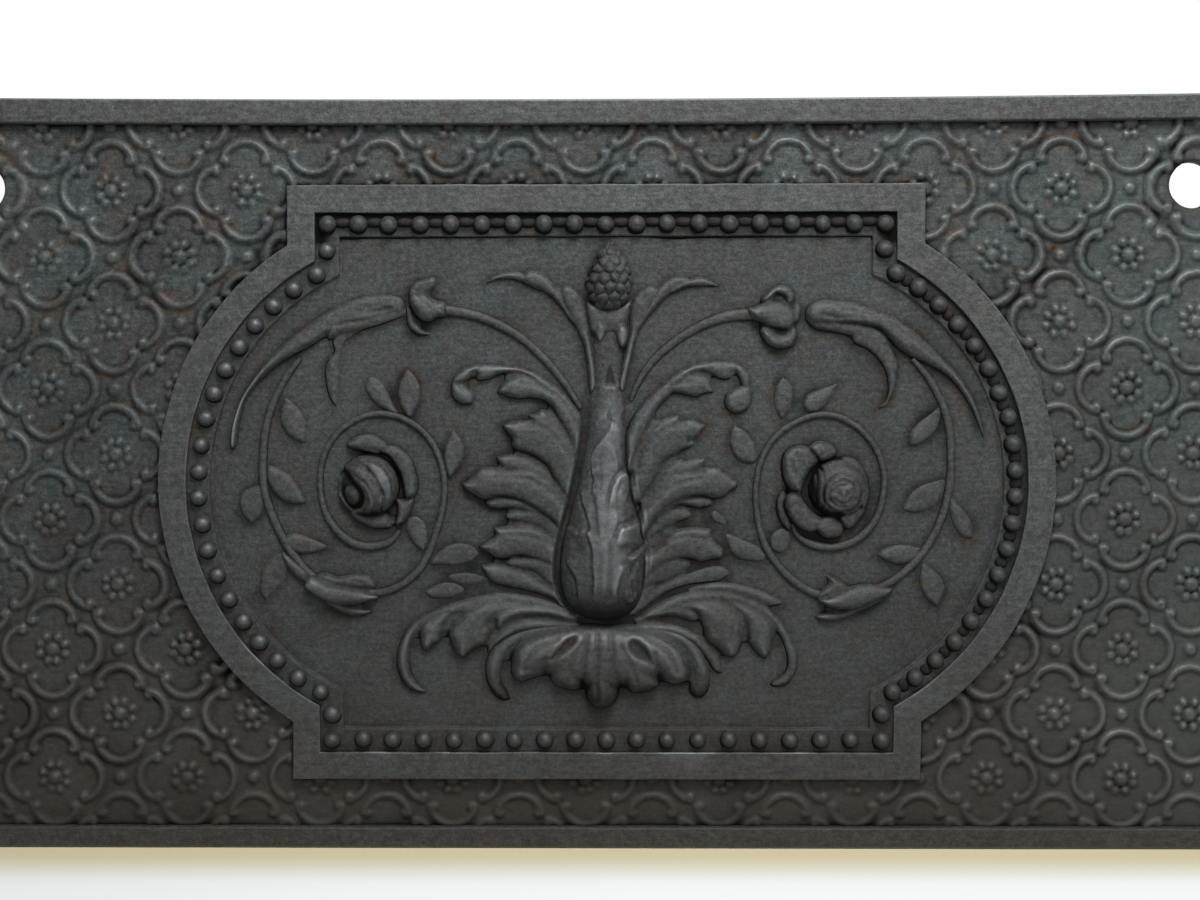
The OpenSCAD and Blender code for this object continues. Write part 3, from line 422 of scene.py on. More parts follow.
# A rounded rectangle, counter-clockwise from the front: long sides, short sides and
# quarter-circle corners, always with the same number of points
def rectangleLoop(insetEnd, insetBottom, insetTop, corner, longSteps=220, shortSteps=120):
    x1 = plate["width"] / 2 - insetEnd
    z0, z1 = insetBottom, plate["height"] - insetTop
    loop = []
    corners = [(x1 - corner, z0 + corner), (x1 - corner, z1 - corner),
               (-x1 + corner, z1 - corner), (-x1 + corner, z0 + corner)]
    for k, (cx, cz) in enumerate(corners):
        steps = longSteps if k in (1, 3) else shortSteps
        a = np.radians(np.linspace(-90, 0, 5) + 90 * k)
        arc = np.stack([cx + corner * np.cos(a), cz + corner * np.sin(a)], axis=1)
        nextX, nextZ = corners[(k + 1) % 4]
        turn = math.radians(90 * k)
        end = np.array([nextX + corner * math.cos(turn), nextZ + corner * math.sin(turn)])
        t = (np.arange(1, steps) / steps)[:, None]
        loop += [arc, arc[-1] * (1 - t) + end * t]
    return np.vstack(loop)


# The plate's edge: one closed profile of rim, outer side and flange, carried round
# the rectangle, with a little unevenness of the sand mould
def makePlateEdge():
    flange, web, proud = plate["flangeThick"], -plate["web"], plate["rimProud"]
    deep, foot, radius = web - plate["flangeDepth"], plate["rimFoot"], plate["edgeRadius"]
    lap = flange + plate["lap"]
    # Shares of the rim's width or millimetres in, then level and corner radius
    outline = [
        ("rim", 1.03, foot, 0), ("rim", 1.0, proud, radius), ("rim", 0.0, proud, radius),
        ("mm", 0.0, deep, radius), ("mm", flange, deep, radius),
        ("mm", flange + plate["draft"], web, plate["footRadius"]),
        ("mm", lap, web + plate["lapRise"], 0), ("mm", lap, foot, 0)]
    rings = []
    for width in (plate["rimEnd"], plate["rimBottom"], plate["rimTop"]):
        corners = [(a * width if kind == "rim" else a, level) for kind, a, level, r in outline]
        rings.append(rounded(corners, [r for *_, r in outline]))
    end, bottom, top = rings
    loops = [rectangleLoop(e[0], b[0], t[0], plate["corner"])
             for e, b, t in zip(end, bottom, top)]
    x = np.array([loop[:, 0] for loop in loops])
    z = np.array([loop[:, 1] for loop in loops])
    level = np.repeat(end[:, 1:2], x.shape[1], axis=1)
    endGap = plate["width"] / 2 - abs(x)
    outer = smoothStep(0.0, 2.0, np.minimum(endGap, np.minimum(z, plate["height"] - z)))
    x = x + noiseSum(x, z + level * 3, plate["unevenX"]) * outer
    z = z - lipDrop(x, z) + noiseSum(z + level * 3, x, plate["unevenZ"]) * outer
    # The front's unevenness only takes away, so that it stays inside the plate's depth
    out, most = noiseSum(x, z, plate["unevenOut"]), plate["unevenOut"][0][0]
    level = level + np.where(level > 3, out - most, 0)
    rows, columns = x.shape
    quads = gridQuads(rows, columns, True, True)
    edge = smoothStep(proud - 0.9, proud - 0.15, level)
    border = np.minimum(np.minimum(plate["width"] / 2 - abs(x), z),
                        plate["height"] - lipDrop(x, z) - z)
    exposed = 0.5 + plate["worn"] * edge * (1 - smoothStep(0.4, 1.6, border))
    # Darker at the foot of the rim's front and, behind, in the corner of flange and web: soot and
    # painted shade
    exposed -= plate["footSootAndShade"] * smoothStep(1.6, 0.2, level) * (level > -3)
    exposed -= plate["backSootAndShade"] * smoothStep(-14, web, level) * (level < -3)
    points = pointsOf(x, z, level)
    makePiece("plate_edge", points, [quads[:, ::-1]], exposed, rimFinish,
              ["ground_plate"], sharp=50)


makePlateEdge()
print("plate edge made")


# Distance outside the cartouche's outline, below nothing inside: the nearer of its
# box between the square corners and the circles of its round sides
def cartoucheDistance(x, z):
    x, z = abs(x - cartouche["middleX"]), abs(z - cartouche["middleZ"])
    box = np.maximum(x - cartouche["cornerWidth"] / 2, z - cartouche["height"] / 2)
    return np.minimum(box, np.hypot(x - sideX, z) - sideRadius)


# The cartouche's outline drawn in by an inset, counter-clockwise from the foot's left
# corner, always with the same number of points along each side and arc
def cartoucheLoop(inset, rowSteps=150, sideSteps=12, arcSteps=120):
    cornerX = cartouche["cornerWidth"] / 2 - inset
    top = cartouche["height"] / 2 - inset
    r = sideRadius - inset
    notch = math.sqrt(r * r - (cornerX - sideX) ** 2)
    turn = math.asin(notch / r)
    row = np.arange(rowSteps) / rowSteps
    side = np.arange(sideSteps) / sideSteps
    a = turn * (2 * np.arange(arcSteps) / arcSteps - 1)
    rise = -top + (top - notch) * side
    half = [np.stack([cornerX * (2 * row - 1), np.full(rowSteps, -top)], 1),
            np.stack([np.full(sideSteps, cornerX), rise], 1),
            np.stack([sideX + r * np.cos(a), r * np.sin(a)], 1),
            np.stack([np.full(sideSteps, cornerX), rise + top + notch], 1)]
    loop = np.vstack(half)
    loop = np.vstack([loop, -loop])
    return loop + (cartouche["middleX"], cartouche["middleZ"])


# The diaper ground. Every second point of the lattice holds a quatrefoil of four
# C scrolls round an eight-petalled rosette, and the others hold a pearl.
diaper = {
    "pitchX": 33.6, "pitchZ": 32.75, "baseZ": 34.7,
    "reach": 12.5, "radius": 11.5, "halfAngle": 80.0, "rope": 1.95, "ropeHigh": 2.0,
    "knobSide": 9.7, "knobReach": 14.7, "knob": 2.5, "knobHigh": 2.2,
    "heart": 3.6, "heartHigh": 2.4,
    "petalReach": 6.4, "petal": 2.15, "petalLong": 1.1, "petalHigh": 1.7,
    "pearl": 3.3, "pearlHigh": 2.3, "groundStep": 0.74, "seed": 11,
    # How far each petal is off in angle, reach, width and height
    "petalOff": (0.09, 0.4, 0.12, 0.25),
    # Years of wear and a coarse mould leave some parts crisp and others faint
    "crisp": 0.94, "crispDrift": ((0.14, 34, 21),), "faintTop": 0.22, "faintTopZ": (345, 362),
    "faintFoot": 0.35, "faintFootZ": (40, 18), "rightX": (120, 300), "footZ": (70, 30),
    "skin": ((0.16, 9, 22), (0.1, 3.1, 23)), "tone": ((0.09, 21, 24),), "toneRight": 0.035,
    "gain": 0.33, "gainRight": 0.1, "gainFoot": 0.1, "holeLip": 0.7, "holeLipMm": 0.8,
    # Dirt and painted shade beside the walls and round the holes, and how far they reach
    "wallDirtAndShade": 0.34, "wallDirtAndShadeMm": 1.3, "holeDirtAndShade": 0.2, "holeDirtAndShadeMm": 1.5,
    # It reaches a little under the rim and the band, and its back lies in the plate. The
    # side parts meet between two rows.
    "under": 1, "backLevel": -4.5, "seamZ": 187.1,
}
jitterTable = np.random.default_rng(diaper["seed"]).uniform(-1, 1, (4, 64, 64, 8))


# A round hump: sqrt(1 - (d/r)^2) of its height at distance d, with a small flare
def hump(d, r, high):
    flare = 0.08 * np.exp(-np.clip(d / r - 1, 0, 9) * 5)
    return high * (np.sqrt(np.clip(1 - (d / r) ** 2, 0, 1)) + flare)


# Folded on its four axes, a quatrefoil is one half scroll: a rope along an arc whose
# end carries a knob. The petals are humps at eight even angles, each a little off.
def quatrefoil(u, v, ci, cj):
    d = diaper
    p, q = np.maximum(abs(u), abs(v)), np.minimum(abs(u), abs(v))
    ring = np.hypot(q, p - d["reach"])
    turn = np.arctan2(q, p - d["reach"])
    last = math.radians(d["halfAngle"])
    endQ, endP = d["radius"] * math.sin(last), d["reach"] + d["radius"] * math.cos(last)
    off = np.where(turn < last, abs(ring - d["radius"]), np.hypot(q - endQ, p - endP))
    level = hump(off, d["rope"], d["ropeHigh"])
    knob = np.hypot(q - d["knobSide"], p - d["knobReach"])
    level = np.maximum(level, hump(knob, d["knob"], d["knobHigh"]))
    far = np.hypot(u, v)
    level = np.maximum(level, hump(far, d["heart"], d["heartHigh"]))
    k = np.round(np.arctan2(v, u) / (math.pi / 4) - 0.5).astype(int) % 8
    off = [most * table[ci % 64, cj % 64, k] for most, table in zip(d["petalOff"], jitterTable)]
    a = (k + 0.5) * math.pi / 4 + off[0]
    reach = d["petalReach"] + off[1]
    out = (u * np.cos(a) + v * np.sin(a) - reach) / d["petalLong"]
    away = np.hypot(out, v * np.cos(a) - u * np.sin(a))
    petal = hump(away, d["petal"] * (1 + off[2]), d["petalHigh"] * (1 + off[3]))
    return np.maximum(level, petal)


def diaperLevel(x, z):
    d = diaper
    i = np.round(x / d["pitchX"]).astype(int)
    j = np.round((z - d["baseZ"]) / d["pitchZ"]).astype(int)
    level = np.zeros_like(x)
    for di in (-1, 0, 1):
        for dj in (-1, 0, 1):
            ci, cj = i + di, j + dj
            u, v = x - ci * d["pitchX"], z - d["baseZ"] - cj * d["pitchZ"]
            cell = np.where((ci + cj) % 2 == 0, quatrefoil(u, v, ci, cj),
                            hump(np.hypot(u, v), d["pearl"], d["pearlHigh"]))
            level = np.maximum(level, cell)
    crisp = d["crisp"] + noiseSum(x, z, d["crispDrift"])
    crisp -= d["faintTop"] * smoothStep(*d["faintTopZ"], z)
    crisp -= d["faintFoot"] * smoothStep(*d["faintFootZ"], z)
    return level * crisp + noiseSum(x, z, d["skin"])


# Draws the grid round a hanging hole from a square of index steps onto the circle, so
# that its points land on the rim; returns the places and the quads inside the hole
def openHole(x, z, holeX, holeZ, spread):
    r = plate["holeRadius"]
    if abs(x - holeX).min() > r or abs(z - holeZ).min() > r:
        return x, z, np.ones((x.shape[0] - 1, x.shape[1] - 1), bool)
    away = np.hypot(x - holeX, z - holeZ)
    i0, j0 = np.unravel_index(np.argmin(away), away.shape)
    stepX, stepZ = abs(x[i0, j0 + 1] - x[i0, j0]), abs(z[i0 + 1, j0] - z[i0, j0])
    shift = bell(away, 60)
    x, z = x + (holeX - x[i0, j0]) * shift, z + (holeZ - z[i0, j0]) * shift
    a = abs(np.arange(x.shape[1]) - j0) / round(r / stepX)
    b = abs(np.arange(x.shape[0]) - i0) / round(r / stepZ)
    square = np.maximum(a[None, :], b[:, None])
    dx, dz = x - holeX, z - holeZ
    away = np.maximum(np.hypot(dx, dz), 1e-6)
    share = np.clip((square - 1) / (spread - 1), 0, 1)
    goal = np.where(square >= 1, r * (1 - share) + away * share, away)
    x, z = holeX + dx / away * goal, holeZ + dz / away * goal
    inside = np.maximum(square[:-1, :-1], square[1:, 1:]) <= 1.0001
    inside &= np.maximum(square[1:, :-1], square[:-1, 1:]) <= 1.0001
    return x, z, ~inside


def openHoles(x, z, spread=2.0):
    mask = np.ones((x.shape[0] - 1, x.shape[1] - 1), bool)
    for side in (-1, 1):
        x, z, shown = openHole(x, z, side * plate["holeX"], plate["holeZ"], spread)
        mask &= shown
    return x, z, mask


# Draws an open surface's border straight back to a level and fills it there flat
def closeFlat(piece, level):
    y = (plate["groundY"] - level) / 1000
    shell = bmesh.new()
    shell.from_mesh(piece.data)
    rim = [e for e in shell.edges if e.is_boundary]
    made = bmesh.ops.extrude_edge_only(shell, edges=rim)["geom"]
    ends = [v for v in made if isinstance(v, bmesh.types.BMVert)]
    flat = Matrix(((1, 0, 0, 0), (0, 0, 0, y), (0, 0, 1, 0), (0, 0, 0, 1)))
    bmesh.ops.transform(shell, matrix=flat, verts=ends)
    bmesh.ops.triangle_fill(shell, use_beauty=True, use_dissolve=False,
                            edges=[e for e in made if isinstance(e, bmesh.types.BMEdge)])
    bmesh.ops.recalc_face_normals(shell, faces=shell.faces)
    shell.to_mesh(piece.data)
    shell.free()
    piece.data.shade_smooth()
    piece.data.set_sharp_from_angle(angle=math.radians(70))


def makeGround(name, x, z):
    d = diaper
    x, z, mask = openHoles(x, z)
    level = soften(diaperLevel(x, z))
    hole = np.hypot(abs(x) - plate["holeX"], z - plate["holeZ"]) - plate["holeRadius"]
    hole = np.clip(hole, 0, 50)
    rim = plate["height"] - plate["rimTop"] - lipDrop(x, z + 6) - z
    wall = np.minimum(plate["width"] / 2 - plate["rimEnd"] - abs(x),
                      np.minimum(z - plate["rimBottom"], rim))
    wall = np.clip(np.minimum(wall, cartoucheDistance(x, z)), 0, None)
    dirtAndShade = d["wallDirtAndShade"] * np.exp(-wall / d["wallDirtAndShadeMm"])
    dirtAndShade += d["holeDirtAndShade"] * np.exp(-hole / d["holeDirtAndShadeMm"])
    right = smoothStep(*d["rightX"], x)
    gain = d["gain"] + d["gainRight"] * right - d["gainFoot"] * smoothStep(*d["footZ"], z)
    # Exposed is the level against the mean round it, which paints shade into hollows and highlights
    # onto crowns, less dirt and painted shade beside the walls and the holes
    exposed = np.clip(0.5 + gain * (level - windowMean(level, 3)) - dirtAndShade, 0, 1)
    exposed += noiseSum(x, z, d["tone"]) + d["toneRight"] * right
    level = level - d["holeLip"] * bell(hole, d["holeLipMm"])
    points = pointsOf(x, z, level)
    points, quads, exposed = kept(points, gridQuads(*x.shape), exposed, mask.ravel())
    closeFlat(makePiece(name, points, [quads], np.clip(exposed, 0, 1), groundFinish,
                        ["diaper_scrolls", "diaper_rosettes", "diaper_pearls"]), d["backLevel"])


# Side parts run from the end rim to the cartouche's outline, with evenly drawn columns
def makeSideGround(name, side, zLow, zHigh, columns=228):
    z = np.linspace(zLow, zHigh, round((zHigh - zLow) / diaper["groundStep"]) + 1)
    lean = abs(z - cartouche["middleZ"])
    reach = np.sqrt(np.maximum((sideRadius - diaper["under"]) ** 2 - lean ** 2, 0))
    arc = np.where(lean < notchZ, sideX + reach, 0)
    inner = np.maximum(arc, cartouche["cornerWidth"] / 2 - diaper["under"])
    inner = cartouche["middleX"] + side * inner
    outer = side * (plate["width"] / 2 - plate["rimEnd"] + diaper["under"])
    left, right = (outer, inner[:, None]) if side < 0 else (inner[:, None], outer)
    t = np.linspace(0, 1, columns)[None, :]
    x = left * (1 - t) + right * t
    makeGround(name, x, np.repeat(z[:, None], columns, axis=1))


def makeRowGround(name, zLow, zHigh):
    step = diaper["groundStep"]
    half = cartouche["cornerWidth"] / 2 - diaper["under"]
    x = cartouche["middleX"] + np.linspace(-half, half, round(2 * half / step) + 1)
    z = np.linspace(zLow, zHigh, round((zHigh - zLow) / step) + 1)
    makeGround(name, *np.meshgrid(x, z))


rowFoot = plate["rimBottom"] - diaper["under"]
rowHead = plate["height"] - plate["rimTop"] + diaper["under"]
rowInner = cartouche["height"] / 2 - diaper["under"]
for word, side in (("left", -1), ("right", 1)):
    makeSideGround("ground_lower_" + word, side, rowFoot, diaper["seamZ"])
    makeSideGround("ground_upper_" + word, side, diaper["seamZ"], rowHead)
makeRowGround("ground_top_row", cartouche["middleZ"] + rowInner, rowHead)
makeRowGround("ground_bottom_row", rowFoot, cartouche["middleZ"] - rowInner)
print("diaper ground made")


# The web's back, seen from behind: a rough open-sand face, plain round the studs. The
# frame's studs come first, then the ornament's, from the cartouche's middle.
webBack = {
    "studs": [(-100, -141.5), (-100, 141.5), (100, -141.5), (100, 141.5), (-216.4, 0), (216.4, 0),
              (0, -38), (0, 20), (-118, -1), (114, -2)],
    "columns": 220, "rows": 118, "plain": 10, "rough": 22,
    "skin": ((0.22, 40, 31), (0.12, 12, 32), (0.06, 5, 33)), "tone": ((0.12, 17, 34),),
    "face": 0.52, "wallSootAndShade": 0.3, "wallSootAndShadeMm": 5, "studSootAndShade": 0.25, "studSootAndShadeMm": 2,
    "studFoot": 9, "backLevel": -4.4,
}


def makeWebBack():
    look, inset = webBack, plate["flangeThick"] + 2
    half = plate["width"] / 2 - inset
    x, z = np.meshgrid(np.linspace(-half, half, look["columns"]),
                       np.linspace(inset, plate["height"] - inset, look["rows"]))
    x, z, mask = openHoles(x, z, 3.0)
    near = np.full(x.shape, 99.0)
    for studX, studZ in look["studs"]:
        off = np.hypot(x - cartouche["middleX"] - studX, z - cartouche["middleZ"] - studZ)
        near = np.minimum(near, off)
    rough = smoothStep(look["plain"], look["rough"], near)
    level = noiseSum(x, z, look["skin"]) * rough - plate["web"]
    # Darker near the flange walls and round the studs' feet: soot and painted shade
    wall = np.minimum(plate["width"] / 2 - abs(x), np.minimum(z, plate["height"] - z))
    wallSootAndShade = look["wallSootAndShade"] * np.exp(-(wall - plate["flangeThick"]) / look["wallSootAndShadeMm"])
    studSootAndShade = np.exp(-np.clip(near - look["studFoot"], 0, 50) / look["studSootAndShadeMm"])
    exposed = look["face"] - wallSootAndShade - look["studSootAndShade"] * studSootAndShade + noiseSum(x, z, look["tone"])
    points = pointsOf(x, z, level)
    points, quads, exposed = kept(points, gridQuads(*x.shape)[:, ::-1], exposed, mask.ravel())
    closeFlat(makePiece("web_back", points, [quads], np.clip(exposed, 0, 1), backFinish,
                        ["ground_plate"]), look["backLevel"])


makeWebBack()
print("web back made")


# The rings' unevenness as amount and grain: sideways, up, outwards twice, in the tone
uneven = [(0.18, 11), (0.18, 12), (0.16, 30), (0.07, 8), (0.05, 15)]


# A ring round the cartouche: a closed profile of (inset, level) carried round the
# outline, its edges a little uneven as filed castings are
def makeCartoucheRing(name, profile, radii, finish, node, exposedOf, seed):
    ring = rounded(profile, radii, 4)
    loops = np.array([cartoucheLoop(inset) for inset in ring[:, 0]])
    x, z = loops[..., 0], loops[..., 1]
    level = np.repeat(ring[:, 1:2], x.shape[1], axis=1)
    front = smoothStep(0, 1.5, level)
    layers = [(*layer, seed + k) for k, layer in enumerate(uneven)]
    x = x + noiseSum(x + level, z, layers[:1]) * front
    z = z + noiseSum(z, x + level, layers[1:2]) * front
    level = level + front * noiseSum(x, z, layers[2:4])
    exposed = exposedOf(ring[:, 0:1] + 0 * level, level, x, z) + noiseSum(x, z, layers[4:])
    makePiece(name, pointsOf(x, z, level), [gridQuads(*x.shape, True, True)],
              np.clip(exposed, 0, 1), finish, [node], sharp=60)


band, proud, ledge = cartouche["band"], cartouche["bandProud"], cartouche["ledgeProud"]
beads = {
    "diameter": 10.0, "pitch": 15.2, "arcPitch": 12.8, "inset": 19.9, "sunk": 0.35, "seed": 61,
    "halfX": 0.95, "halfZ": 0.97, "high": 1.04, "rings": 8, "around": 24,
    # How far each is off its place, and its size, roundness and height
    "off": 0.3, "scale": 0.95, "scaleOff": 0.045, "oval": 0.03, "highOff": 0.2,
    # How bright each row's painted highlight is, and the flash's; the painted shade at the rims;
    # and how the lit side faces: front, right and up
    "highlight": {"bottom": 0.66, "top": 0.56, "left": 0.76, "right": 0.6}, "flashHighlight": 0.26,
    "rimShade": 0.1, "litFront": 0.82, "litRight": 0.16, "litUp": 0.36,
    # How far above the row the flash lies, its half widths and its height
    "flash": {"top": (1.0, 5.6, 2.6, 1.6), "right": (0.0, 3.6, 3.6, 1.1)},
}


# The band is rubbed along its arrises, and lighter in patches along its inner edge except along the
# top and the right, wear and painted highlight. It is darker at the foot of its outer wall, soot
# and painted shade, and at the foot of its inner one, lightly all round and strongly along the top
# and the right, where it is a painted shadow.
bandWearAndShade = {"face": 0.5, "arris": 0.3, "patches": 0.3, "patchGrain": 16, "foot": 0.45, "seed": 45,
            "topZ": (290, 300), "rightX": (150, 190), "rightZ": (60, 120)}


def bandExposed(inset, level, x, z):
    look = bandWearAndShade
    shade = smoothStep(*look["rightX"], x) * smoothStep(*look["rightZ"], z)
    shade = np.maximum(smoothStep(*look["topZ"], z), shade)
    inner = smoothStep(4.2, 3.0, level) * (inset > band - 3)
    low = smoothStep(2.2, 0.2, level) * (inset < 3) + inner * (0.2 + 0.8 * shade)
    arris = np.exp(-np.minimum(inset, band - inset) / 0.7) * smoothStep(4.0, 4.8, level)
    patches = smoothStep(0.1, 0.6, softNoise(x, z, look["patchGrain"], look["seed"]))
    # Wear and painted highlight along the inner edge, left out under the painted shadow along the
    # top and the right
    worn = (1 - shade) * np.exp(-abs(inset - band) / 0.8) * patches
    return look["face"] + look["arris"] * arris + look["patches"] * worn - look["foot"] * low


# How far the rings and the field reach back into the ground
sunkLevel = -3.8
bandProfile = [(0.0, sunkLevel), (0.15, proud), (band - 0.1, proud), (band, sunkLevel)]
makeCartoucheRing("cartouche_band", bandProfile, [0, 0.8, 0.7, 0], bandFinish,
                  "cartouche_frame", bandExposed, 41)


# Painted shade on the ledge, so that its step looks sharp along the top. There its face is darker,
# its step has a painted highlight on its arris and a painted shadow at its foot, and the corner
# against the band is darker, soot and painted shade; elsewhere the step's shadow and the corner's
# darkening are faint. Along the top and on the right the channel of the beads lies in painted
# shade.
ledgeSootAndShade = {"face": 0.46, "crisp": 0.06, "edge": 0.06, "channelShade": 0.17, "corner": 0.4,
             "shadowLineZ": (303, 305.5), "topZ": (300, 304), "rightX": (140, 190),
             "rightZ": (100, 160)}


def ledgeExposed(inset, level, x, z):
    look = ledgeSootAndShade
    # Along the top the face is darker, the step's foot has a painted shadow and its arris a painted
    # highlight
    crisp = smoothStep(*look["shadowLineZ"], z)
    edge = bell(inset - ledgeInset + 0.6, 0.7) * (level > 2.4) * crisp
    corner = np.exp(-(inset - band) / 1.3) * (0.25 + 0.75 * crisp)
    corner = np.clip(corner + smoothStep(2.6, 1.6, level) * (0.1 + 0.9 * crisp), 0, 1)
    shadedPart = smoothStep(*look["rightX"], x) * smoothStep(*look["rightZ"], z)
    shadedPart = np.maximum(smoothStep(*look["topZ"], z), shadedPart)
    channelShade = np.exp(-((inset - beads["inset"] + 1.5) / 5.5) ** 4) * shadedPart
    return (look["face"] - look["crisp"] * crisp + look["edge"] * edge
            - look["channelShade"] * channelShade - look["corner"] * corner)


ledgeInset, panelInset = band + cartouche["ledge"], band + 14.5
ledgeProfile = [
    (band - 0.1, sunkLevel), (band - 0.1, ledge), (ledgeInset, ledge),
    (ledgeInset + 0.5, fieldLevel), (panelInset, fieldLevel - 0.35), (panelInset, sunkLevel)]
makeCartoucheRing("bead_ledge", ledgeProfile, [0, 0.3, 0.8, 0.8, 0, 0], fieldFinish,
                  "cartouche_panel", ledgeExposed, 51)
print("cartouche frame made")


# Hemispheres on the ledge: rings of points at even angles from crown to foot, each bead
# a little off its place, size and height. Low flat domes between those of the top and
# the right row are the casting's flash, which strings the beads together.
def makeBeads(word, row, places, seed):
    off = np.random.default_rng(seed).uniform(-1, 1, (2 * len(places), 5))
    rings, around, size = beads["rings"], beads["around"], beads["diameter"] / 2
    lat = np.linspace(0.0, math.pi / 2, rings)[1:, None]
    lon = np.linspace(0, 2 * math.pi, around, endpoint=False)[None, :]
    flare = np.where(lat > 1.4, 1.04, 1.0)
    unitX, unitZ = np.sin(lat) * np.cos(lon) * flare, np.sin(lat) * np.sin(lon) * flare
    unitLevel = np.cos(lat) + 0 * lon
    quads = gridQuads(rings - 1, around, False, True)
    here = np.arange(around)
    top = np.stack([np.full(around, (rings - 1) * around), (here + 1) % around, here], axis=1)
    # The last ring's flat foot closes the bead under the ledge's face
    foot = np.arange((rings - 1) * around - 1, (rings - 2) * around - 1, -1)[None, :]
    half = [size * beads[k] for k in ("halfX", "halfZ", "high")]
    domes = [(x, z, *half, beads["highlight"][word]) for x, z in places]
    if word in beads["flash"]:
        above, *half = beads["flash"][word]
        domes += [((a[0] + b[0]) / 2, (a[1] + b[1]) / 2 + above, *half, beads["flashHighlight"])
                  for a, b in zip(places, places[1:]) if math.dist(a, b) < 1.4 * beads["pitch"]]
    base, parts = ledge - beads["sunk"], []
    for (middleX, middleZ, halfX, halfZ, rise, highlightShare), o in zip(domes, off):
        middleX, middleZ = middleX + beads["off"] * o[1], middleZ + beads["off"] * o[2]
        scale, oval = beads["scale"] + beads["scaleOff"] * o[0], beads["oval"] * o[3]
        x = middleX + halfX * scale * unitX * (1 + oval)
        z = middleZ + halfZ * scale * unitZ * (1 - oval)
        rise = rise * scale + beads["highOff"] * o[4]
        crown = [[middleX, middleZ, base + rise]]
        points = np.vstack([pointsOf(x, z, base + rise * unitLevel), crown])
        # Painted highlight where they face up and to the right, painted shade below and to the left
        lit = beads["litFront"] * unitLevel + beads["litRight"] * unitX + beads["litUp"] * unitZ
        lit = np.append(np.clip(lit, 0, 1), beads["litFront"])
        exposed = beads["rimShade"] + highlightShare * lit
        parts.append((points, [quads, top, foot], exposed))
    points, faces, exposed = together(parts)
    name = "beads_" + word
    makePiece(name + row, points, faces, exposed, beadFinish, [name], sharp=75)


rowX = cartouche["cornerWidth"] / 2 - beads["inset"]
rowZ = cartouche["height"] / 2 - beads["inset"]
beadArc = sideRadius - beads["inset"]
notchTurn = math.acos((rowX - sideX) / beadArc)
sideBeadZ = max(rowZ - beads["arcPitch"], beadArc * math.sin(notchTurn) + beads["diameter"] * 0.2)
rowCount = math.floor(2 * rowX / beads["pitch"])
arcHalf = notchTurn - math.asin(beads["diameter"] * 0.65 / beadArc)
arcCount = math.floor(2 * arcHalf * beadArc / beads["arcPitch"])
for word, side in (("bottom", -1), ("top", 1)):
    places = [(cartouche["middleX"] + (k / rowCount - 0.5) * 2 * rowX,
               cartouche["middleZ"] + side * rowZ) for k in range(rowCount + 1)]
    makeBeads(word, "_row", places, beads["seed"] + side)
for word, side in (("left", -1), ("right", 1)):
    turns = [(k / arcCount - 0.5) * 2 * arcHalf for k in range(arcCount + 1)]
    places = [(side * (sideX + beadArc * math.cos(a)), beadArc * math.sin(a)) for a in turns]
    places += [(side * rowX, end * sideBeadZ) for end in (-1, 1)]
    places = [(cartouche["middleX"] + x, cartouche["middleZ"] + z) for x, z in places]
    makeBeads(word, "_arc", places, beads["seed"] + 5 + side)
print("beads made")

# Spines of the stems: x, z and half width from the field's middle
stems = {
    "crook_left": [
        (-12.5, 38, 1.4), (-20, 50, 2.2), (-30, 62, 2.5), (-42, 73, 2.6), (-55, 80.5, 2.8),
        (-68, 85, 3), (-81, 87, 3)],
    "crook_right": [
        (12.5, 42, 1.4), (18, 54, 2.2), (27, 65, 2.5), (38, 73.5, 2.6), (50, 80, 2.9),
        (61, 83.5, 3.4), (73, 84.5, 3.8)],
    "stem_left": [
        (-152, 63, 1.6), (-160, 52, 2.2), (-166, 40, 2.4), (-169.5, 28, 2.5), (-171, 15, 2.5),
        (-171, 0, 2.5), (-168, -12, 2.5), (-163, -24, 2.5), (-156, -36, 2.5), (-147, -46, 2.5),
        (-136, -51.5, 2.5), (-122, -54.5, 2.5), (-110, -53.5, 2.5), (-99, -48, 2.5),
        (-91, -39, 2.4), (-85.5, -26, 2.2), (-81.5, -12, 2), (-80.5, 0, 2), (-82.5, 12, 2),
        (-88, 23, 2), (-97, 31, 2), (-108, 35, 2), (-119, 34.5, 2), (-130, 29, 2), (-138, 20, 2),
        (-142, 9, 2), (-142.5, -3, 2), (-140, -14, 2.2), (-134, -23.5, 2.4), (-126, -29.5, 2.6),
        (-117, -31, 2.6), (-108, -28.5, 2.2), (-103, -23, 1.4)],
    "stem_right": [
        (152, 62, 1.6), (160.5, 52, 2.2), (167, 40, 2.4), (170.5, 28, 2.5), (171.5, 15, 2.5),
        (171, 0, 2.5), (168, -14, 2.5), (162, -28, 2.5), (153, -40, 2.5), (142, -49, 2.5),
        (130, -54, 2.5), (117, -56, 2.5), (104, -54.5, 2.5), (92, -47, 2.5), (82.5, -36, 2.4),
        (77.5, -25, 2.2), (75, -12, 2), (75, 0, 2), (77.5, 12, 2), (83, 22, 2), (92, 29.5, 2),
        (103, 34, 2), (114, 34, 2), (125, 28.5, 2), (133.5, 19, 2), (138, 7, 2), (138, -6, 2.1),
        (134, -18, 2.2), (126, -27, 2.4), (115, -31.5, 2.5), (104, -30.5, 2.4), (96, -26, 1.8),
        (93, -20, 1.2)],
}


# A stem: its half round section carried along a Catmull-Rom spine, its height falling
# with the square root of its width towards the tips
stem = {"rise": 2.2, "slim": 0.86, "steps": 5, "across": 15, "skirt": 1.3, "skirtDrop": -0.9,
        "footDrop": -0.12, "leastWidth": 0.3, "footSootAndShade": 0.14, "worn": 0.46,
        "tone": ((0.06, 9, 79),)}


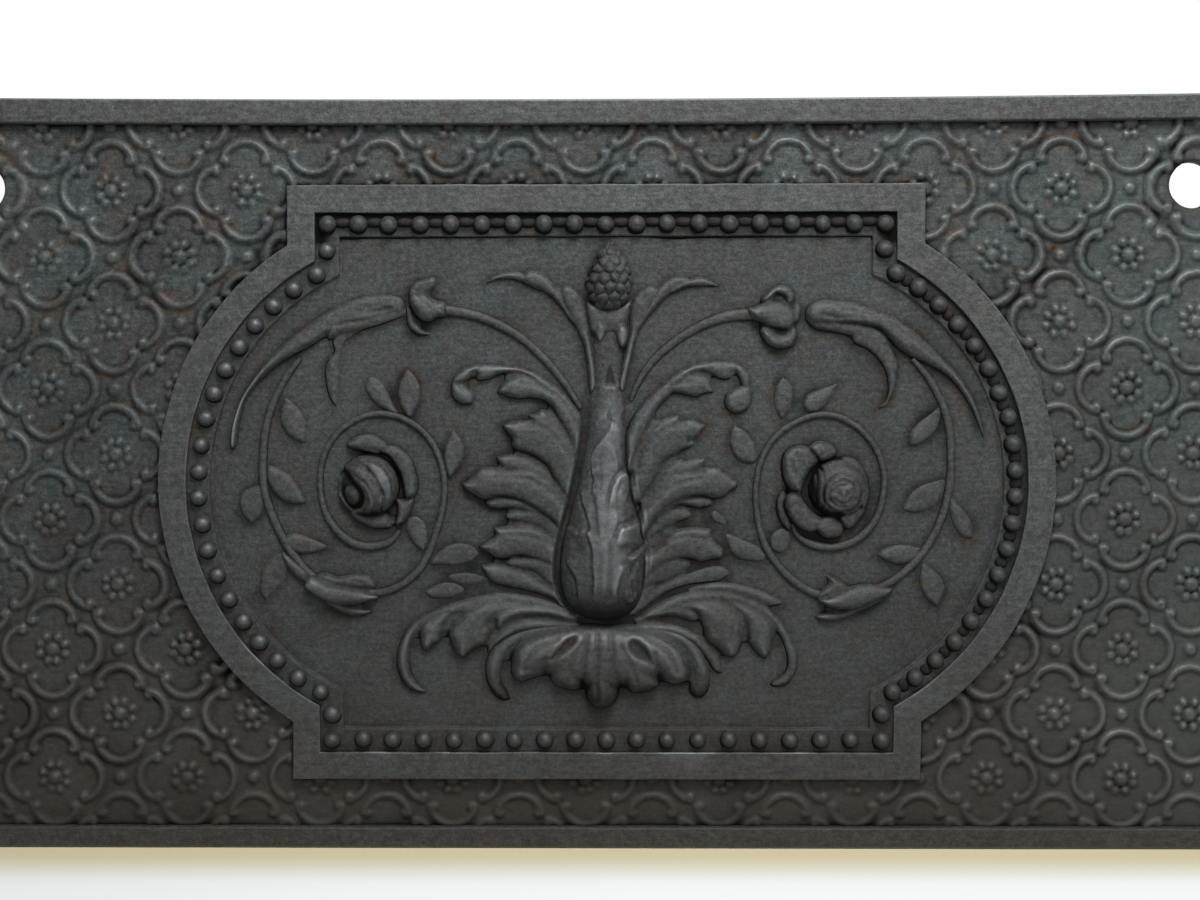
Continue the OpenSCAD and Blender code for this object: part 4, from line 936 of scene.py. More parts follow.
def makeStem(node):
    p = curveThrough(stems[node], stem["steps"])
    p[:, 2] *= stem["slim"]
    run = np.gradient(p[:, :2], axis=0)
    run /= np.linalg.norm(run, axis=1, keepdims=True)
    rise = np.sqrt(np.maximum(p[:, 2], stem["leastWidth"]) / p[:, 2].max())[:, None]
    side = np.cos(np.linspace(0, math.pi, stem["across"]))
    share = np.concatenate([[0], np.sqrt(1 - side ** 2), [0]])
    side = np.concatenate([[stem["skirt"]], side, [-stem["skirt"]]])
    drop = np.where(share < 0.01, stem["footDrop"], 0.0)
    drop = np.where(abs(side) > 1.2, stem["skirtDrop"], drop)
    x = p[:, :1] - run[:, 1:2] * side * p[:, 2:3]
    z = p[:, 1:2] + run[:, :1] * side * p[:, 2:3]
    level = fieldLevel + share * stem["rise"] * rise + drop
    # Darker at its foot, soot and painted shade, and lighter along its crown, wear and painted
    # highlight
    exposed = stem["footSootAndShade"] + stem["worn"] * share * rise ** 0.5 + noiseSum(x, z, stem["tone"])
    rows, columns = x.shape
    ends = np.arange(columns)[None, ::-1], np.arange((rows - 1) * columns, rows * columns)[None, :]
    faces = [gridQuads(rows, columns, False, True), *ends]
    makeRelief(node, onField(x, z, level), faces, exposed, 70)


# Distance inside a closed outline, below nothing outside it: the nearest of its sides,
# with a sign from how many sides a line to the right crosses
def insideDistance(x, z, outline):
    px, pz = x.ravel()[None, :], z.ravel()[None, :]
    a, b = outline[:, None, :], np.roll(outline, -1, axis=0)[:, None, :]
    run = b - a
    lengthSquared = np.maximum((run ** 2).sum(-1), 1e-9)
    along = (px - a[..., 0]) * run[..., 0] + (pz - a[..., 1]) * run[..., 1]
    t = np.clip(along / lengthSquared, 0, 1)
    away = np.hypot(px - a[..., 0] - t * run[..., 0], pz - a[..., 1] - t * run[..., 1]).min(axis=0)
    spans = (a[..., 1] > pz) != (b[..., 1] > pz)
    slant = np.where(abs(run[..., 1]) < 1e-9, 1e-9, run[..., 1])
    crossed = spans & (px < a[..., 0] + run[..., 0] * (pz - a[..., 1]) / slant)
    inside = crossed.sum(axis=0) % 2 == 1
    return np.where(inside, away, -away).reshape(x.shape)


# Distance from the nearest point of an open line
def lineDistance(x, z, line):
    px, pz = x.ravel()[None, :], z.ravel()[None, :]
    a, run = line[:-1, None, :], np.diff(line, axis=0)[:, None, :]
    t = ((px - a[..., 0]) * run[..., 0] + (pz - a[..., 1]) * run[..., 1]) / (run ** 2).sum(-1)
    t = np.clip(t, 0, 1)
    away = np.hypot(px - a[..., 0] - t * run[..., 0], pz - a[..., 1] - t * run[..., 1])
    return away.min(axis=0).reshape(x.shape)


# A closed smooth outline through traced points; a point given twice is a sharp tip
def closedCurve(points, n=5):
    p = np.asarray(points, float)
    return curveThrough(np.vstack([p[-1:], p, p[:2]]), n)[n:-n - 1]


# How the leaves are cast, worn and shaded, and how each kind differs from the usual one: how far
# its edges take to rise, its tilt, its crowns' and walls' share, the grooves left in its gaps, its
# softenings, how worn it is and how much painted shade and highlight its relief gets, the soot and
# painted shade at its foot and the painted shade on its lee side, which faces down and to the left
relief = {"step": 0.45, "tiltAlong": (-0.7, -0.7), "margin": 3.0, "sink": 1.1, "backDrop": 2.2,
          "skin": ((0.16, 7.0, 80), (0.09, 2.6, 81)), "hollowEdge": 1.4, "hollowLeast": 0.2,
          # How far the broad and fine relief paints shade and highlight, and painted shade at the
          # foot by the way a wall faces, behind the fin, in the palmette's eyes, on the droops'
          # tails and at the palmette's foot; the roses get painted highlights and shade
          "broadGain": 0.045, "broadWindow": 14, "fineWindow": 4, "wallSootAndShade": 0.2,
          "finSootAndShade": 0.42, "eye": 0.34, "patch": 0.2, "disc": 0.16, "heartShade": 0.04,
          "tailShade": 0.09, "palmetteShade": 0.45}
usualLeaf = {"edge": 1.0, "tilt": 0.4, "crown": 1.0, "share": 1.0, "groove": 1.3, "softenings": 2,
             "worn": 0.52, "gain": 0.13, "footSootAndShade": 0.17, "leeShade": 0.0}
leafKinds = {
    "palmette": {"edge": 3.0, "tilt": 0.1, "groove": 1.0, "softenings": 6, "worn": 0.55,
                 "gain": 0.24, "leeShade": 0.12},
    "droop": {"edge": 2.2, "groove": 1.0, "softenings": 6, "worn": 0.53, "gain": 0.22,
              "leeShade": 0.16},
    "acanthus": {"edge": 1.5, "crown": 0.6, "groove": 1.0, "softenings": 3, "worn": 0.51,
                 "gain": 0.2, "leeShade": 0.2},
    "husk": {"edge": 1.6, "tilt": 0.6, "crown": 0.5, "worn": 0.49, "leeShade": 0.16},
    "rose": {"tilt": 0.45, "crown": 1.3, "worn": 0.42, "gain": 0.18, "leeShade": 0.2},
    "leaves": {"tilt": 0.8, "share": 0.55, "footSootAndShade": 0.29, "leeShade": 0.06},
    "knot": {"worn": 0.45, "leeShade": 0.16}, "bud": {"worn": 0.46},
    "sprig": {"worn": 0.49, "leeShade": 0.1}, "collar": {"tilt": 0.1, "softenings": 4},
}


# Lays a lobe on a level: it rises from its edge as 1 - exp(-d/edge) and on to its crown,
# and is tilted so that its lower left side stands higher, as these are carved. A wall
# below nothing cuts a hollow instead.
def layLobe(x, z, level, wall, crown, points, edge=usualLeaf["edge"], tilt=usualLeaf["tilt"]):
    outline = closedCurve(points)
    low, high = outline.min(axis=0) - relief["margin"], outline.max(axis=0) + relief["margin"]
    near = (x > low[0]) & (x < high[0]) & (z > low[1]) & (z < high[1])
    d = insideDistance(x[near], z[near], outline)
    inside = np.clip(d, 0, None)
    if wall < 0:
        cut = level[near] + wall * (1 - np.exp(-inside / relief["hollowEdge"]))
        level[near] = np.maximum(cut, np.minimum(level[near], relief["hollowLeast"]))
        return
    middle, half = (low + high) / 2, (high - low) / 2
    alongX, alongZ = relief["tiltAlong"]
    across = (x[near] - middle[0]) * alongX + (z[near] - middle[1]) * alongZ
    factor = 1 + tilt * np.clip(across / half.mean(), -1, 1)
    deep = np.clip(inside / max(d.max(), 0.5), 0, 1)
    rise = wall * (1 - np.exp(-inside / edge)) + crown * np.sqrt(deep * (2 - deep))
    level[near] = np.maximum(level[near], np.where(d > 0, rise * factor, d * wall))


# Lays lobes on a form that is already there: each adds its height to what it lies on
def addLobe(x, z, level, wall, crown, points):
    added = np.zeros(x.shape)
    layLobe(x, z, added, abs(wall), crown, points)
    level += np.maximum(added, 0) * (1 if wall > 0 else -1)


# The edge of a leaf that lies over another: high on the left of the line as it runs,
# falling away behind it, with a crease before it; both fade at the line's ends
def addEdge(x, z, level, high, fade, dip, width, points):
    line = curveThrough(points, 6)
    best, side, along = np.full(x.shape, 1e9), np.zeros(x.shape), np.zeros(x.shape)
    for k in range(len(line) - 1):
        run = line[k + 1] - line[k]
        px, pz = x - line[k][0], z - line[k][1]
        t = np.clip((px * run[0] + pz * run[1]) / (run @ run), 0, 1)
        away = np.hypot(px - t * run[0], pz - t * run[1])
        near = away < best
        best = np.where(near, away, best)
        side = np.where(near, run[0] * pz - run[1] * px, side)
        along = np.where(near, (k + t) / (len(line) - 1), along)
    share = smoothStep(0, 0.14, along) * smoothStep(1, 0.86, along)
    level += share * np.where(side > 0, high * np.exp(-best / fade), -dip * bell(best, width))


# Leaves, buds and knots traced as closed outlines from the field's middle: how high the
# edge stands, how much higher the middle, then the outline. A doubled point is a sharp
# tip, and a lobe of negative height is a hollow cut into those before it.
leafage = {
    "sprig_left": [
        (2.4, 1.4, [(-21.5, 98.2), (-18, 98.8), (-13.5, 96), (-10.5, 91), (-9, 85), (-8, 78),
         (-6, 66), (-4, 50), (-8, 46), (-9.5, 60), (-11, 69), (-14, 76), (-17.5, 83), (-20.8, 90),
         (-22.5, 95)]),
        (2.2, 1.2, [(-41, 103.5), (-38, 106.2), (-33, 105.8), (-28.5, 103), (-25, 99), (-22, 95),
         (-19.5, 88), (-13, 78), (-17, 80.5), (-22.5, 88.5), (-28, 94), (-34, 97.4), (-41, 100.8)]),
        (1.7, 0.8, [(-60.5, 99), (-60.5, 99), (-55.5, 103.2), (-50, 105.4), (-44, 105.6),
         (-39, 104.4), (-34, 101), (-30, 96.6), (-34, 96.6), (-40, 99.8), (-46, 101.6),
         (-53, 101.8)]),
    ],
    "sprig_right": [
        (2.4, 1.4, [(25.5, 97.5), (21, 98.4), (16.5, 95.5), (13, 91), (12, 85), (11.5, 77),
         (9.5, 66), (6, 50), (9, 46), (12, 57), (14.5, 68), (17.5, 78), (22, 87), (26, 93.5)]),
        (2.2, 1.2, [(40.5, 102.6), (35, 103.2), (30, 101), (26, 97.5), (22, 92), (18, 84), (13, 73),
         (18, 78.5), (23, 85), (29, 91.6), (36, 97), (41.5, 100.2)]),
        (1.7, 0.8, [(57, 97.8), (57, 97.8), (52, 101.2), (47, 102.8), (42, 101.8), (36, 99.2),
         (30, 94.4), (34, 95), (40, 97.6), (48, 98.2)]),
    ],
    "knot_left": [
        (3.6, 3, [(-79, 90.5), (-84, 92), (-89.5, 95.4), (-95, 95.8), (-97.6, 92), (-96, 87),
         (-92, 82), (-87, 80.6), (-83, 82.6), (-79, 84)]),
        (2.3, 0.9, [(-97, 89), (-97.8, 96), (-95, 100.6), (-90, 102.4), (-84.6, 103), (-83.6, 100),
         (-86, 96.6), (-90, 94.4), (-93, 91)]),
        (1.4, 0.5, [(-99, 88), (-98.6, 80), (-94.8, 75.2), (-90, 74), (-86, 75), (-86, 75),
         (-90.6, 77), (-94, 81), (-96.4, 87)]),
        (-0.9, 0, [(-95, 95.6), (-92, 99.4), (-87.4, 100.6), (-85.8, 99), (-88.6, 97), (-92, 95)]),
    ],
    "knot_right": [
        (3.6, 3, [(70, 87), (72, 82), (77, 79.5), (80, 77.5), (85.5, 76.4), (91.6, 76.6),
         (93.6, 80), (94.6, 84), (92, 88), (88, 91), (84, 91), (77, 90), (73, 88.4)]),
        (3, 1.6, [(76.4, 91), (80, 95.4), (85, 98.8), (90.4, 98.2), (94, 94), (92.6, 89.6),
         (89.4, 89), (88.4, 92.6), (84.4, 93.8), (80, 90)]),
        (3.2, 1.8, [(76, 77), (78, 71.5), (82, 68), (88, 66.8), (93.5, 69.5), (95.5, 74.5),
         (93, 78.4), (90.6, 75.8), (86, 74.4), (80, 77.6)]),
        (1.8, 0.8, [(93.6, 80), (96.6, 82.6), (96.8, 87.6), (94.4, 90), (92.6, 86)]),
    ],
    "husk_left": [
        (2, 0.8, [(-99.6, 84), (-107, 81), (-116, 78), (-126, 75.6), (-133, 74.2), (-138, 72),
         (-136, 80), (-122, 83), (-108, 87), (-100, 88)]),
        (1.3, 0.5, [(-120, 77.6), (-126, 73.6), (-130.4, 70), (-132, 64), (-132, 56), (-132.8, 48),
         (-134.2, 38.2), (-134.2, 38.2), (-137.6, 43), (-139.4, 50), (-140, 57), (-138.4, 62),
         (-135.4, 66), (-136, 71), (-134, 76), (-128, 79)]),
        (3.6, 2.8, [(-100, 86), (-100.6, 92), (-105, 94), (-112, 94.6), (-120, 93.6), (-128, 91),
         (-136, 87.5), (-143, 83), (-149, 79), (-156, 74), (-162, 68.6), (-168, 62.6), (-173.4, 56),
         (-178.4, 49), (-182.4, 42), (-185.4, 34), (-187.4, 25), (-187.2, 17.2), (-187.2, 17.2),
         (-184.2, 19.4), (-183, 27), (-181.4, 35), (-178.6, 43.4), (-173.6, 50), (-167.6, 56),
         (-161.4, 60.6), (-155, 64.4), (-148, 67.8), (-141, 72.4), (-135, 76.8), (-129.6, 79.2),
         (-122, 80), (-115, 81.4), (-107, 83.8)]),
        (-1.7, 0, [(-118, 85.8), (-113, 87.4), (-108, 89), (-105, 88), (-107, 86.2), (-112, 85.2)]),
    ],
    "husk_right": [
        (2.2, 0.8, [(98.6, 82), (103.6, 77), (112, 75.2), (120, 73.4), (127, 70), (133, 66),
         (140, 70), (136, 76), (128, 80), (112, 84), (102, 85)]),
        (2.2, 1.2, [(122, 75), (130, 75.6), (136, 72.8), (140, 69), (142.4, 65.4), (142.4, 65.4),
         (144.8, 59.4), (144.4, 52), (142.6, 45), (139, 39), (133.6, 36.4), (133.6, 36.4),
         (138.2, 40.6), (139.8, 45.6), (139.6, 51), (137.8, 57.4), (134.2, 62.6), (129, 67),
         (123, 70)]),
        (3.6, 2.8, [(98.8, 83), (99.6, 88), (103.4, 91), (111, 91.8), (120, 91), (128, 88.8),
         (136, 86), (144, 82.2), (151, 77.6), (158, 71.4), (165, 64.6), (172, 57.6), (178, 50),
         (183, 41), (186.4, 31), (188.4, 19), (188.4, 19), (184.8, 29), (180.8, 38), (176.4, 45),
         (172, 50.6), (168, 54.2), (162, 58), (156, 60.8), (150, 63.4), (144, 67.8), (139, 73.4),
         (135, 77), (129, 78.2), (120, 79), (110, 79), (102, 79.6)]),
        (-1.6, 0, [(106, 84.2), (109.6, 85), (114, 83.6), (119.6, 81.8), (113, 81.6), (108, 82.2)]),
    ],
    "bud_left": [
        (2.2, 1, [(-162.5, -34), (-158, -36.2), (-152, -40.8), (-148.6, -44.6), (-150, -49.5),
         (-155, -46.6), (-160, -40.6)]),
        (2.4, 1, [(-141, -59), (-134, -63.6), (-128, -65.8), (-121, -65.6), (-116.6, -63.6),
         (-116.6, -63.6), (-124, -61.8), (-130, -59.4), (-136, -57.6)]),
        (2.6, 1.4, [(-145, -45), (-140, -43.8), (-134, -45.6), (-127, -44.8), (-121, -44.8),
         (-116.6, -47.4), (-115.4, -52), (-122, -52.4), (-132, -52.4), (-140, -51)]),
        (4.2, 3.2, [(-150, -48), (-147, -45), (-141.6, -46.6), (-136, -49), (-129, -50.6),
         (-122, -52.2), (-116, -54.4), (-112.6, -57), (-112.6, -57), (-118, -58.6), (-124, -60),
         (-131, -60.4), (-138, -59.2), (-145, -55.8), (-150.4, -51.6)]),
        (-1.3, 0, [(-139.5, -47.6), (-134, -48.6), (-130, -50), (-132.6, -50.4), (-137, -49.4)]),
        (-1.2, 0, [(-129, -47.2), (-124, -47.6), (-119, -49.6), (-124, -49.6)]),
    ],
    "bud_right": [
        (2.2, 1, [(140, -57), (133, -61), (126, -64.2), (118, -67.8), (110, -68.6), (103.6, -66.4),
         (103.6, -66.4), (109, -64), (117, -63), (126, -60)]),
        (2.8, 1.2, [(122, -53), (118.6, -48.8), (113, -46.2), (109, -45.6), (109, -45.6),
         (111.6, -48.8), (107.4, -52.4), (104.6, -57), (111, -57), (117, -57)]),
        (4, 3, [(143, -52), (137, -50.4), (130, -49.4), (122, -50.6), (114.6, -53.4),
         (104.8, -57.6), (104.8, -57.6), (110.6, -61.2), (118, -62.8), (126, -62.2), (134, -58.8),
         (141, -55.8)]),
    ],
    "leaves_left": [
        (1.9, 1.2, [(-104, 35.4), (-111, 37.8), (-116.6, 42.4), (-120, 49), (-118, 53.6),
         (-118, 53.6), (-113.4, 52.6), (-109.4, 47.6), (-107, 42)]),
        (1.9, 1.2, [(-98.4, 57.2), (-98.4, 57.2), (-101.6, 53), (-103.4, 47.4), (-102.9, 41.4),
         (-100.6, 36), (-97.4, 33.2), (-94.6, 37), (-92.4, 42.6), (-92.6, 49), (-95, 53.8)]),
        (1.9, 1.3, [(-76, 27.4), (-76, 27.4), (-72.2, 22.4), (-70.4, 16), (-73, 9), (-77.6, 3.6),
         (-80.4, 9), (-80.8, 16), (-79, 22)]),
        (1.9, 1.2, [(-159.6, 43.4), (-159.6, 43.4), (-154.4, 39.2), (-150.6, 33.6), (-149.4, 27),
         (-149.8, 20.6), (-149.8, 20.6), (-155, 22.4), (-159.8, 26.4), (-162.4, 32),
         (-161.8, 38.4)]),
        (2.4, 1.5, [(-169, 9.4), (-164, 8.2), (-158.6, 5), (-153.6, -1), (-149.6, -9.4),
         (-149.6, -9.4), (-156, -9.6), (-162, -7.4), (-167, -2.4), (-169.6, 4)]),
        (1.8, 1, [(-162, -27), (-156, -24.4), (-149, -26.6), (-139, -31), (-139, -31),
         (-143.6, -33.8), (-150, -35), (-156, -33.8), (-161, -30.6)]),
        (1.5, 0.9, [(-171, -1), (-177, -1.4), (-181.4, -4), (-183.4, -9), (-181.8, -14.8),
         (-177.6, -19.4), (-177.6, -19.4), (-173.2, -16), (-171, -9)]),
        (1.2, 0.7, [(-161, -35), (-167, -36.4), (-171.6, -41.4), (-173.4, -49), (-173.2, -55),
         (-170, -58.6), (-170, -58.6), (-167, -54), (-162.6, -50), (-160, -42)]),
        (1.8, 1.2, [(-99.6, -18.4), (-95.6, -16), (-91.4, -18.4), (-89.6, -23), (-89.2, -30),
         (-91, -34), (-91, -34), (-95, -31), (-98.2, -26.6), (-99.8, -22)]),
        (1.2, 0.8, [(-88, -40), (-84.4, -34.6), (-79, -31), (-73, -29.6), (-66.4, -31.4),
         (-63.6, -35), (-63.6, -35), (-68, -38.4), (-76, -40.6), (-82, -40.2)]),
        (1.4, 0.8, [(-91, -54.2), (-91, -54.2), (-86.6, -51.2), (-81, -49.4), (-75, -50.2),
         (-71, -53), (-75.6, -56.4), (-82, -57.4), (-87.4, -56.8)]),
        (0.5, 0.3, [(-79, -46.4), (-73, -44.6), (-66, -45), (-58.6, -47.4), (-58.6, -47.4),
         (-66, -49.8), (-74, -49.4)]),
    ],
    "leaves_right": [
        (2, 1.3, [(98, 40), (100.4, 44.6), (106, 47), (115, 50), (115, 50), (112.8, 44),
         (109, 38.8), (104.6, 35.8), (100, 36.2)]),
        (1.4, 0.9, [(88, 53), (88, 53), (92.2, 48.6), (92.6, 42), (90.6, 36), (87.4, 32.4),
         (84.8, 36.4), (83.6, 41.6), (84.4, 48)]),
        (1.8, 1.2, [(64, 29), (64, 29), (69.6, 26), (73.8, 20), (76, 13.6), (73.4, 10.4), (68, 11),
         (63.8, 14.4), (61.8, 20), (62, 25)]),
        (1.4, 0.9, [(166, 38), (161, 34.4), (155, 30), (151, 25), (150.8, 19.2), (150.8, 19.2),
         (155.6, 19.8), (160.4, 23), (165, 29)]),
        (1.3, 0.8, [(169, 1.6), (162, 0.6), (156, -1.6), (150.6, -6.6), (147.6, -13), (147.6, -13),
         (153, -14.2), (159.4, -13), (166, -8.6)]),
        (1.7, 1, [(159, -33), (151, -30.8), (144, -30.8), (138, -32.8), (135.2, -35.8),
         (135.2, -35.8), (140.6, -38.8), (146, -40.4), (152.6, -38.8), (158, -36)]),
        (1.6, 0.9, [(170.4, -6), (174, -8.8), (178.2, -13.4), (181.8, -19), (182.8, -27),
         (182.8, -27), (177.8, -26.4), (174, -22), (171.4, -15)]),
        (1.8, 1.2, [(158, -40), (163.2, -43), (167.8, -48), (168.8, -54), (165.6, -61.8),
         (165.6, -61.8), (161.4, -58.8), (157.8, -54), (156.4, -48)]),
        (1.6, 1.1, [(91.6, -24), (87.6, -22.4), (83.2, -24.8), (81.6, -29), (83.2, -33),
         (88, -34.2), (91.8, -29.6)]),
        (1.3, 0.9, [(60, -25), (60.8, -31), (64, -35.8), (69, -38), (78, -38.6), (80, -35.4),
         (75, -31), (68, -27.8)]),
        (0.8, 0.5, [(54, -13.4), (52.4, -16.4), (55.6, -19.6), (60.4, -20.4), (60.4, -20.4),
         (58.4, -16.4)]),
    ],
    "acanthus_left": [
        (1.5, 0.8, [(-6, 30), (-15, 24), (-21, 14), (-27, 3), (-29, -10), (-30, -25), (-30, -40),
         (-28, -52), (-22, -62), (-8, -62), (-5, 0)]),
        (3.2, 1.6, [(-8, 22), (-12, 34), (-20, 45), (-29, 52.5), (-39, 57.5), (-50, 59.5),
         (-61, 60.3), (-70, 58.5), (-75.5, 53.5), (-76.5, 50), (-71, 50.5), (-67, 53), (-65, 55.5),
         (-64, 51.5), (-64, 51.5), (-58, 52), (-53, 54.6), (-46, 55.4), (-41, 54.6), (-34, 49),
         (-27, 38.5), (-22, 29), (-14, 14)]),
        (2.8, 1.4, [(-76.5, 51), (-77, 45), (-74, 41), (-70, 39.6), (-66, 40.5), (-65, 44),
         (-67, 47.5), (-71, 49.5)]),
        (3.2, 2.6, [(-8, 14), (-13, 34), (-22, 44), (-31, 51), (-41, 54.6), (-48, 53), (-52, 49.5),
         (-54.4, 45.6), (-54.4, 45.6), (-50, 44), (-44, 42.2), (-38, 42.6), (-32.5, 42),
         (-28.5, 39.8), (-26, 36.5), (-22, 29), (-16, 19), (-8, 4)]),
        (3.2, 2.6, [(-6, -4), (-13, 12), (-16.6, 20), (-21, 26.6), (-26, 33), (-31, 37.4),
         (-35, 35.6), (-39.4, 34.6), (-39.4, 34.6), (-37, 32), (-44, 32.2), (-52, 30), (-52, 30),
         (-50, 26.5), (-47, 22.5), (-47, 19), (-43, 16.3), (-38, 14.6), (-32.5, 11.4), (-29, 8),
         (-26, 2), (-18, -8)]),
        (2.6, 1.2, [(-20, -8), (-26, 4.5), (-31, 8.6), (-36, 12), (-42, 14), (-48, 15.2),
         (-55.2, 13.8), (-55.2, 13.8), (-53, 9.8), (-50, 7), (-40, 3), (-30, -4)]),
        (4, 3.2, [(-12, -20), (-17, -10), (-24, -1), (-31, 5), (-38, 8.4), (-44, 8.4), (-50, 7.6),
         (-56, 9.2), (-62, 8.6), (-65.5, 5.4), (-68.5, 2.6), (-72.4, 0), (-72.4, 0), (-69.5, -3),
         (-65, -6), (-60, -8), (-53, -6.6), (-45, -8), (-37, -12), (-28, -18), (-16, -30)]),
        (2.6, 1.2, [(-24, -6), (-40, -6), (-52, -6), (-61, -8.2), (-61, -8.2), (-58.5, -11.5),
         (-54, -12.7), (-48, -12.4), (-42, -13.5), (-34, -17), (-24, -22)]),
        (2, 1, [(-20, -10), (-38, -12), (-46, -13.2), (-50.4, -16), (-48, -18.2), (-42, -19.4),
         (-36, -20.8), (-31.5, -23), (-27.5, -28), (-18, -30)]),
        (3.4, 2.6, [(-12, -30), (-22, -30), (-28, -26), (-32, -22.6), (-38, -20.6), (-46, -20.2),
         (-56.8, -21.4), (-56.8, -21.4), (-55.5, -25), (-60, -28.6), (-64.4, -31.4), (-64.4, -31.4),
         (-59.5, -34), (-55, -37), (-50, -37.4), (-44, -36.2), (-36, -38), (-28, -41), (-14, -50)]),
        (2.4, 1.2, [(-20, -34), (-38, -35.5), (-46, -36.8), (-50, -38.8), (-48.5, -41.2),
         (-42, -43), (-37, -44), (-32.5, -47), (-28, -51), (-16, -54)]),
        (2.6, 1.6, [(-16, -56), (-26, -52.6), (-34, -47.8), (-39, -44.4), (-46, -42), (-52, -40.2),
         (-57, -39.2), (-62.8, -40.8), (-62.8, -40.8), (-60.5, -45.5), (-56.5, -49.6), (-50, -51.4),
         (-40, -53.5), (-28, -57), (-18, -62)]),
    ],
    "acanthus_right": [
        (1.5, 0.8, [(7, 30), (14, 22), (19, 14), (25, 3), (27, -10), (28, -25), (27, -40),
         (25, -52), (20, -62), (8, -62), (6, 0)]),
        (3.2, 1.6, [(8, 18), (13, 33), (21, 43.5), (28, 50), (35, 55.6), (42, 59), (50, 61),
         (58, 61.6), (65, 60.4), (70, 57), (72, 52), (71.5, 47.5), (68.5, 47.5), (66.5, 51),
         (64, 56), (62.5, 52.6), (62.5, 52.6), (59, 51.6), (55, 52.8), (51, 55), (46, 55.8),
         (42, 54), (34, 46), (25, 36), (14, 12)]),
        (2.8, 1.4, [(72, 48.5), (73, 43), (71.5, 38.5), (67, 35.2), (62, 35.8), (59.2, 38.8),
         (59, 42.5), (61, 46), (66, 48.5)]),
        (3.2, 2.6, [(9, 12), (15, 32), (22, 42), (31, 50), (41, 54.8), (48, 53.8), (52, 51),
         (54, 45.4), (54, 45.4), (49, 44.8), (44.5, 43.2), (39, 44.4), (34.5, 45.2), (30, 44),
         (27, 40.6), (23.5, 36.2), (20, 30), (12, 6)]),
        (3.2, 2.6, [(8, -6), (14, 9), (17, 19), (21, 27), (25.4, 31.2), (30.4, 33.8), (37, 35),
         (37, 35), (37, 31.8), (42, 32.6), (50, 29.4), (50, 29.4), (47.5, 26), (44.5, 22.8),
         (41.5, 21.4), (45.4, 20.4), (45.4, 20.4), (40.5, 17.6), (35, 15), (30.5, 12.2),
         (27.5, 8.6), (25, 2), (16, -10)]),
        (2.6, 1.2, [(18, -8), (25, 1.5), (28.4, 6.6), (33, 10.6), (38, 12.8), (39.5, 11.6),
         (44, 13), (50, 12.8), (50, 12.8), (48.6, 9.4), (46.6, 6.6), (40, 2), (30, -4)]),
        (4, 3.2, [(14, -20), (18, -10), (25, -2), (32, 4), (39, 6.8), (46, 6.8), (50, 8.8), (55, 9),
         (59, 6.6), (62.5, 4.2), (65.8, 1.2), (65.6, -1.6), (61.8, -4), (58, -6.8), (53.5, -7.4),
         (49, -6.4), (42, -7), (34, -10), (26, -17), (16, -30)]),
        (2.6, 1.2, [(24, -4), (38, -6), (48, -6), (54, -8.8), (51, -11.4), (46, -12.2), (41, -11.2),
         (35, -11.4), (24, -20)]),
        (2, 1, [(20, -10), (32, -11), (39, -12.6), (43, -15.2), (41, -17.4), (35.5, -19.2),
         (30, -22), (26, -25.4), (18, -30)]),
        (3.4, 2.6, [(14, -36), (22, -33), (27, -29.6), (30, -26.4), (34, -23.2), (39, -21.8),
         (46, -21.2), (53.4, -22.4), (53.4, -22.4), (53, -26), (56, -29.6), (59, -33), (57.8, -37),
         (52.5, -38), (47.5, -39.2), (43, -37.8), (36, -38), (28, -41), (16, -50)]),
        (2.4, 1.2, [(20, -32), (34, -34), (40.5, -37), (42.4, -40.4), (39.5, -43.6), (35.5, -46),
         (31, -48.4), (26, -50), (16, -52)]),
        (1.2, 0.7, [(20, -56), (30, -49), (40, -45.4), (50, -41.8), (58, -41.2), (62.4, -44.8),
         (62.4, -44.8), (57, -48.6), (50, -49.6), (40, -51), (30, -54.5), (22, -60)]),
    ],
    "droop_left": [
        (2.2, 1.2, [(-12, -70), (-22, -69), (-34, -67.8), (-42, -68), (-48, -70), (-53.6, -73.8),
         (-58, -80), (-60, -86), (-54, -80), (-44, -75), (-30, -73), (-14, -73)]),
        (2.6, 0.8, [(-12, -66), (-22, -61), (-34, -56.8), (-48, -54.4), (-60, -55), (-70, -57.4),
         (-80, -60.4), (-90, -65), (-98, -70.4), (-102.6, -77), (-105, -85), (-105.2, -91),
         (-103.4, -97.6), (-99.6, -102.4), (-94.6, -104.9), (-88.6, -105), (-88.6, -105),
         (-92.6, -101.6), (-96.4, -97), (-98.4, -91), (-98, -83), (-95.6, -75.6), (-91, -69.6),
         (-80, -66), (-60, -66), (-40, -65.6), (-24, -68)]),
        (3.2, 1.6, [(-60, -58), (-76, -61), (-86, -65), (-92.4, -69.4), (-93.4, -75), (-92.8, -81),
         (-90, -84), (-90, -84), (-86.6, -81.2), (-83, -78.6), (-81.2, -74.6), (-79.6, -70),
         (-76, -65.6), (-68, -62)]),
        (3.8, 2.6, [(-36, -59), (-50, -57.4), (-62, -58.4), (-70, -62.4), (-75, -67.4),
         (-78.2, -72), (-78.8, -76.4), (-77.2, -81), (-75, -85), (-71.6, -87.6), (-71.6, -87.6),
         (-68.6, -85), (-65, -82.4), (-60, -80.4), (-57.4, -76.4), (-56, -72.4), (-56.6, -69.2),
         (-50, -67), (-42, -64)]),
        (3, 1.8, [(-14, -66), (-24, -62), (-36, -60), (-48, -60), (-56, -64), (-56, -69),
         (-53.6, -72.8), (-49, -69.6), (-44, -67), (-37, -66), (-28, -66.4), (-18, -69)]),
    ],
    "droop_right": [
        (1.6, 0.8, [(40, -53), (52, -49.6), (62, -49.4), (72, -51.4), (80.4, -54.4), (90, -59.8),
         (90, -59.8), (82, -61.4), (74, -58.4), (64, -55), (52, -53.6)]),
